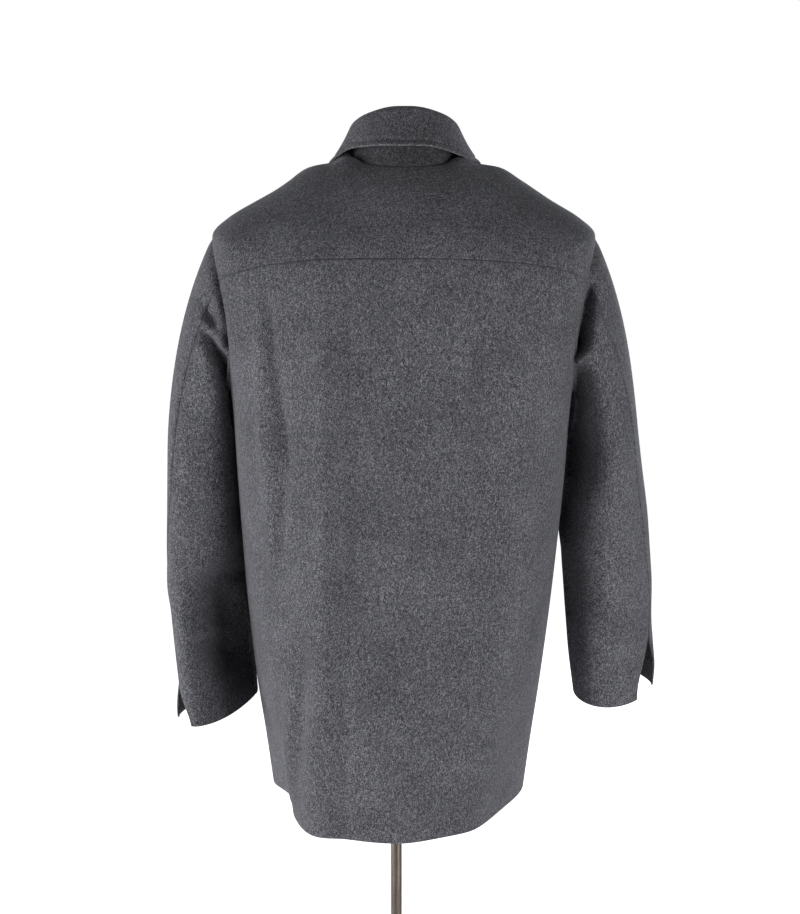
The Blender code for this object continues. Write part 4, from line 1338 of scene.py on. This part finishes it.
# Buttonholes: close stitches round a cut, from beside each button towards the side
holeSet = {
    "edgeEnd": 0.0030, "sideEnd": -0.0250,
    "lipIn": 0.00025, "lipOut": 0.0023, "pitch": 0.00062,
    "radius": 0.00034, "sides": 5, "points": 7, "rise": 0.00050, "sink": 0.00045, "endThin": 0.4,
    "fanTurn": 80.0, "fanStitches": 13,
    "barLong": 0.0026, "barStrands": 6, "barStart": 0.6,
}


def holeStitches(look, height):
    steps = np.arange(look["sideEnd"], look["edgeEnd"], look["pitch"])
    starts, ends = [], []
    for sign in (-1.0, 1.0):
        starts += [(x, sign * look["lipIn"]) for x in steps]
        ends += [(x, sign * look["lipOut"]) for x in steps]
    fan = math.radians(look["fanTurn"])
    for turn in np.linspace(-fan, fan, look["fanStitches"]):    # round the end beside the edge
        x, z = math.cos(turn), math.sin(turn)
        starts.append((look["edgeEnd"] + look["lipIn"] * x, look["lipIn"] * z))
        ends.append((look["edgeEnd"] + look["lipOut"] * x, look["lipOut"] * z))
    for k in range(look["barStrands"]):     # bar across the far end
        x = look["sideEnd"] - look["pitch"] * (k + look["barStart"])
        starts.append((x, -look["barLong"]))
        ends.append((x, look["barLong"]))
    starts, ends = np.array(starts)[:, None], np.array(ends)[:, None]
    flat = starts + (ends - starts) * (1 + stitchReach(look)[:, None]) / 2
    return onFront(flat[..., 0], height + flat[..., 1], stitchLift(look)[None, :])


holeLines, holeWays = (np.concatenate(parts) for parts in zip(
    *[holeStitches(holeSet, height) for height in buttonSet["heights"]]))
buttonholes = sewStrands("buttonholes", holeLines, holeWays, holeSet)
print("buttonholes worked")

# Dress form under the coat, covered in jersey
formSet = {
    "name": "dress_form",
    "rows": (
        (0.800, 0.800, 0.800, 0.146, -0.104, 0.112, 0.0, 0.000, 2.2),
        (0.880, 0.880, 0.880, 0.158, -0.118, 0.118, 0.0, 0.000, 2.2),
        (1.020, 1.020, 1.020, 0.150, -0.110, 0.108, 0.0, 0.000, 2.2),
        (1.160, 1.160, 1.160, 0.172, -0.128, 0.122, 0.001, 0.000, 2.3),
        (1.270, 1.290, 1.250, 0.186, -0.132, 0.118, 0.003, -0.002, 2.4),
        (1.345, 1.385, 1.315, 0.194, -0.126, 0.106, 0.004, -0.003, 2.3),
        (1.398, 1.430, 1.346, 0.184, -0.112, 0.098, 0.005, -0.003, 2.2),
        (1.433, 1.4519, 1.364, 0.151, -0.097, 0.090, 0.005, -0.001, 2.1),
        (1.451, 1.4693, 1.377, 0.121, -0.082, 0.082, 0.005, 0.001, 2.0),
        (1.461, 1.4708, 1.390, 0.077, -0.066, 0.070, 0.006, 0.004, 2.0),
        (1.480, 1.4810, 1.430, 0.060, -0.056, 0.063, 0.006, 0.005, 2.0),
        (1.500, 1.500, 1.465, 0.058, -0.052, 0.060, 0.006, 0.006, 2.0),
        (1.520, 1.520, 1.512, 0.055, -0.048, 0.058, 0.006, 0.006, 2.0),
    ),
    "inset": 0.0013, "sides": 144, "rowsTall": 150,
    "seams": (0.0, 92.0, 180.0, -92.0), "seamWidth": 1.6, "seamDepth": 0.0008,
    "bandZ": 1.492, "bandWidth": 0.0016, "bandDepth": 0.0008,
    "lowRim": 0.012, "topRise": 0.004, "rimSteps": 10, "underShares": (0.08, 0.4, 0.7, 0.9),
    "cover": (0.62, 0.59, 0.54, 1.0), "shade": (0.44, 0.41, 0.37, 1.0),
    "rib": 0.0011, "ribRadius": 0.13, "knitShare": 0.12,
    "soft": (60.0, 3.0, 0.6),               # scale, detail and roughness
    "tone": (0.25, 0.75), "rough": (0.2, 0.8, 0.95, 0.82),
    "bump": 0.35, "bumpDepth": 0.0004, "sheen": 0.15,
}


def jerseyMaterial(name, look):
    made, tree, shader = startMaterial(name)
    place = objectPlace(tree)
    split = addNode(tree, "ShaderNodeSeparateXYZ", -700, -100)
    feed(tree, split, {0: place})
    turn = mathNode(tree, "ARCTAN2", split.outputs["X"], split.outputs["Y"], -550, 50)
    ribs = 2 * math.pi / look["rib"]
    wale = mathNode(tree, "MULTIPLY", turn, ribs * look["ribRadius"], -400, 50)
    course = mathNode(tree, "MULTIPLY", split.outputs["Z"], ribs, -400, -150)
    wale = mathNode(tree, "SINE", wale, 0.0, -250, 50)
    course = mathNode(tree, "SINE", course, 0.0, -250, -150)
    knit = mathNode(tree, "MULTIPLY", wale, course, -100, -50)
    soft = noiseAt(tree, place, *look["soft"], -400, 300)
    tone = mathNode(tree, "ADD", mathNode(tree, "MULTIPLY", knit, look["knitShare"], 0, 0), soft, 120, 100)
    shown = rangeNode(tree, tone, look["tone"], 250, 100)
    feed(tree, shader, {
        "Base Color": mixColour(tree, shown, look["shade"], look["cover"], 400, 200),
        "Roughness": rangeNode(tree, tone, look["rough"], 400, -100),
        "Normal": bumpFrom(tree, knit, look), "Sheen Weight": look["sheen"]})
    return made


def formRingsOf(look):
    rings = makeRings(look["rows"])
    angle = np.linspace(-180.0, 180.0, look["sides"], endpoint=False)[None, :]
    place = np.linspace(0.0, rings["top"], look["rowsTall"])[:, None]
    plain = ringPoint(rings, angle, place)
    inward = np.full(plain.shape[:2], look["inset"])
    for seam in look["seams"]:
        inward = inward + look["seamDepth"] * hump(around180(angle - seam), look["seamWidth"])
    inward = inward + look["bandDepth"] * hump(plain[..., 2] - look["bandZ"], 2 * look["bandWidth"])
    skin = plain - ringNormal(rings, angle, place) * inward[..., None]
    rim = look["lowRim"]
    height = np.clip(plain[..., 2] - look["rows"][0][0], 0.0, rim)
    roundIn = rim - np.sqrt(rim ** 2 - (rim - height) ** 2)
    middle = plain.mean(axis=1, keepdims=True)
    toMiddle = unit((middle - plain) * np.array((1.0, 1.0, 0.0)))
    skin = skin + toMiddle * roundIn[..., None]
    turns = np.linspace(0.0, math.pi / 2, look["rimSteps"])[1:-1]
    top, centre = skin[-1], skin[-1].mean(axis=0)
    dome = [centre + (top - centre) * math.cos(a) + upright * look["topRise"] * math.sin(a) for a in turns]
    low, under = skin[0], skin[0].mean(axis=0)
    flat = [under + (low - under) * share for share in look["underShares"]]
    return np.concatenate([np.array(flat), skin, np.array(dome)])


formJersey = jerseyMaterial("form_jersey", formSet)
dressForm = linkObject(formSet["name"], roundMesh(formSet["name"], formRingsOf(formSet)), formJersey)
ridePiece(dressForm, "form_cover", "form_torso")
print("dress form made")


# Pole, hub and base, turned on one axis
standLook = {
    # piece, node, radius, low, high, rim, sides, metal
    "pieces": (
        ("stand_pole", "pole", 0.0075, 0.0406, 0.7997, 0.0006, 48, "pole_metal"),
        ("stand_hub", "hub", 0.018, 0.0103, 0.0403, 0.003, 72, "base_metal"),
        ("stand_base", "base", 0.190, 0.0, 0.010, 0.003, 160, "base_metal"),
    ),
    "rimSteps": 8, "capShares": (0.25, 0.6, 0.9), "sharpAngle": 50.0,
    "stretch": {"pole_metal": (1.0, 1.0, 0.03), "base_metal": (0.12, 0.9, 0.9)},
    "fine": 900.0, "broad": 14.0, "rubbed": (0.75, 1.25), "rough": (0.3, 0.7, 0.30, 0.46),
    "colour": (0.125, 0.100, 0.084, 1.0), "worn": (0.23, 0.195, 0.170, 1.0), "metallic": 0.85,
    "bump": 0.10, "bumpDepth": 0.0002,
}


def brushedMaterial(name, look):
    made, tree, shader = startMaterial(name)
    lines, clouds = grainNode(tree, look["stretch"][name], look["fine"], look["broad"])
    rubbed = rangeNode(tree, mathNode(tree, "ADD", lines, clouds, -450, 250), look["rubbed"], -300, 250)
    feed(tree, shader, {
        "Base Color": mixColour(tree, rubbed, look["colour"], look["worn"], -100, 250),
        "Roughness": rangeNode(tree, lines, look["rough"], -300, 0),
        "Normal": bumpFrom(tree, lines, look), "Metallic": look["metallic"]})
    return made


def rimmed(look, radius, low, high, rim):
    # The profile of a disc or rod with both its edges rounded
    turn = np.linspace(0.0, math.pi / 2, look["rimSteps"])
    foot = np.stack([radius - rim + rim * np.sin(turn), low + rim - rim * np.cos(turn)], -1)
    head = np.stack([radius - rim + rim * np.cos(turn), high - rim + rim * np.sin(turn)], -1)
    inner = (radius - rim) * np.array(look["capShares"])
    below = np.stack([inner, np.full(len(inner), low)], -1)
    above = np.stack([inner[::-1], np.full(len(inner), high)], -1)
    return np.concatenate([below, foot, head, above])


standMetal = {name: brushedMaterial(name, standLook) for name in standLook["stretch"]}
for name, node, radius, low, high, rim, sides, metal in standLook["pieces"]:
    mesh = roundMesh(name, turnedRings(rimmed(standLook, radius, low, high, rim), sides))
    mesh.set_sharp_from_angle(angle=math.radians(standLook["sharpAngle"]))
    ridePiece(linkObject(name, mesh, standMetal[metal]), "stand_metal", node)
print("stand turned")
# Floor, light and surroundings
stageLook = {
    "floorSize": 40.0, "floorSquares": 8, "floorDrop": 0.0004,
    "floorColour": (0.86, 0.86, 0.87, 1.0), "floorRoughness": 0.9,
    "floorGlow": 1.0,
    "floorBounce": 0.03,
    "white": (1.0, 1.0, 1.0, 1.0),
    # Strength of the surroundings: from and to a direction, then from and to a strength
    "ambient": (-0.1, 0.9, 0.04, 0.03),
    "backdrop": (0.2, 0.95, 0.0, 0.06),
    "aim": (0.0, 0.0, 0.95), "lightSize": 1.6,
    # name, place, power
    "lights": (
        ("left_light", (-2.8, -0.8, 1.0), 48.0),
        ("left_low_light", (-2.6, -0.6, 0.4), 22.0),
        ("right_light", (2.3, -2.3, 0.9), 15.0),
        ("right_low_light", (2.1, -2.0, 0.35), 58.0),
        ("back_light", (-2.1, -2.3, 1.0), 14.0),
        ("front_light", (1.8, 2.9, 1.5), 42.0),
        ("front_left_light", (-2.2, 2.2, 1.0), 12.0),
    ),
}


def makeStage(look):
    mesh = bpy.data.meshes.new("floor")
    shape = bmesh.new()
    squares = look["floorSquares"]
    bmesh.ops.create_grid(shape, x_segments=squares, y_segments=squares, size=look["floorSize"] / 2)
    shape.to_mesh(mesh)
    shape.free()
    made, tree, shader = startMaterial("pale_floor")
    seen = addNode(tree, "ShaderNodeLightPath", -500, -300).outputs["Is Camera Ray"]
    glow = rangeNode(tree, seen, (0.0, 1.0, look["floorBounce"], look["floorGlow"]), -250, -300)
    feed(tree, shader, {
        "Base Color": look["floorColour"], "Roughness": look["floorRoughness"],
        "Emission Color": look["white"], "Emission Strength": glow})
    floor = linkObject("floor", mesh, made)
    floor.location.z = -look["floorDrop"]
    for name, place, power in look["lights"]:
        lamp = bpy.data.lights.new(name, "AREA")
        lamp.shape = "SQUARE"
        lamp.size = look["lightSize"]
        lamp.energy = power
        holder = bpy.data.objects.new(name, lamp)
        holder.location = place
        holder.visible_camera = False
        holder.rotation_euler = (Vector(look["aim"]) - Vector(place)).to_track_quat("-Z", "Y").to_euler()
        bpy.context.scene.collection.objects.link(holder)


def makeWorld(look):
    world = bpy.data.worlds.new("studio")
    world.use_nodes = True
    bpy.context.scene.world = world
    tree = world.node_tree
    tree.nodes.clear()
    sky = addNode(tree, "ShaderNodeTexCoord", -900, 0)
    split = addNode(tree, "ShaderNodeSeparateXYZ", -700, 0)
    feed(tree, split, {0: sky.outputs["Generated"]})
    ambient = rangeNode(tree, split.outputs["Z"], look["ambient"], -500, 150)
    backdrop = rangeNode(tree, split.outputs["Y"], look["backdrop"], -500, -150)
    seen = addNode(tree, "ShaderNodeLightPath", -300, 300)
    glow = addNode(tree, "ShaderNodeBackground", -100, 0)
    feed(tree, glow, {"Color": look["white"], "Strength": mathNode(tree, "ADD", ambient, backdrop, -300, 0)})
    white = addNode(tree, "ShaderNodeBackground", -100, -200)
    feed(tree, white, {"Color": look["white"]})
    both = addNode(tree, "ShaderNodeMixShader", 100, 0)
    feed(tree, both, {0: seen.outputs["Is Camera Ray"], 1: glow.outputs[0], 2: white.outputs[0]})
    feed(tree, addNode(tree, "ShaderNodeOutputWorld", 300, 0), {"Surface": both.outputs[0]})


makeStage(stageLook)
makeWorld(stageLook)
bpy.context.scene.view_settings.view_transform = "Standard"
print("stage lit")
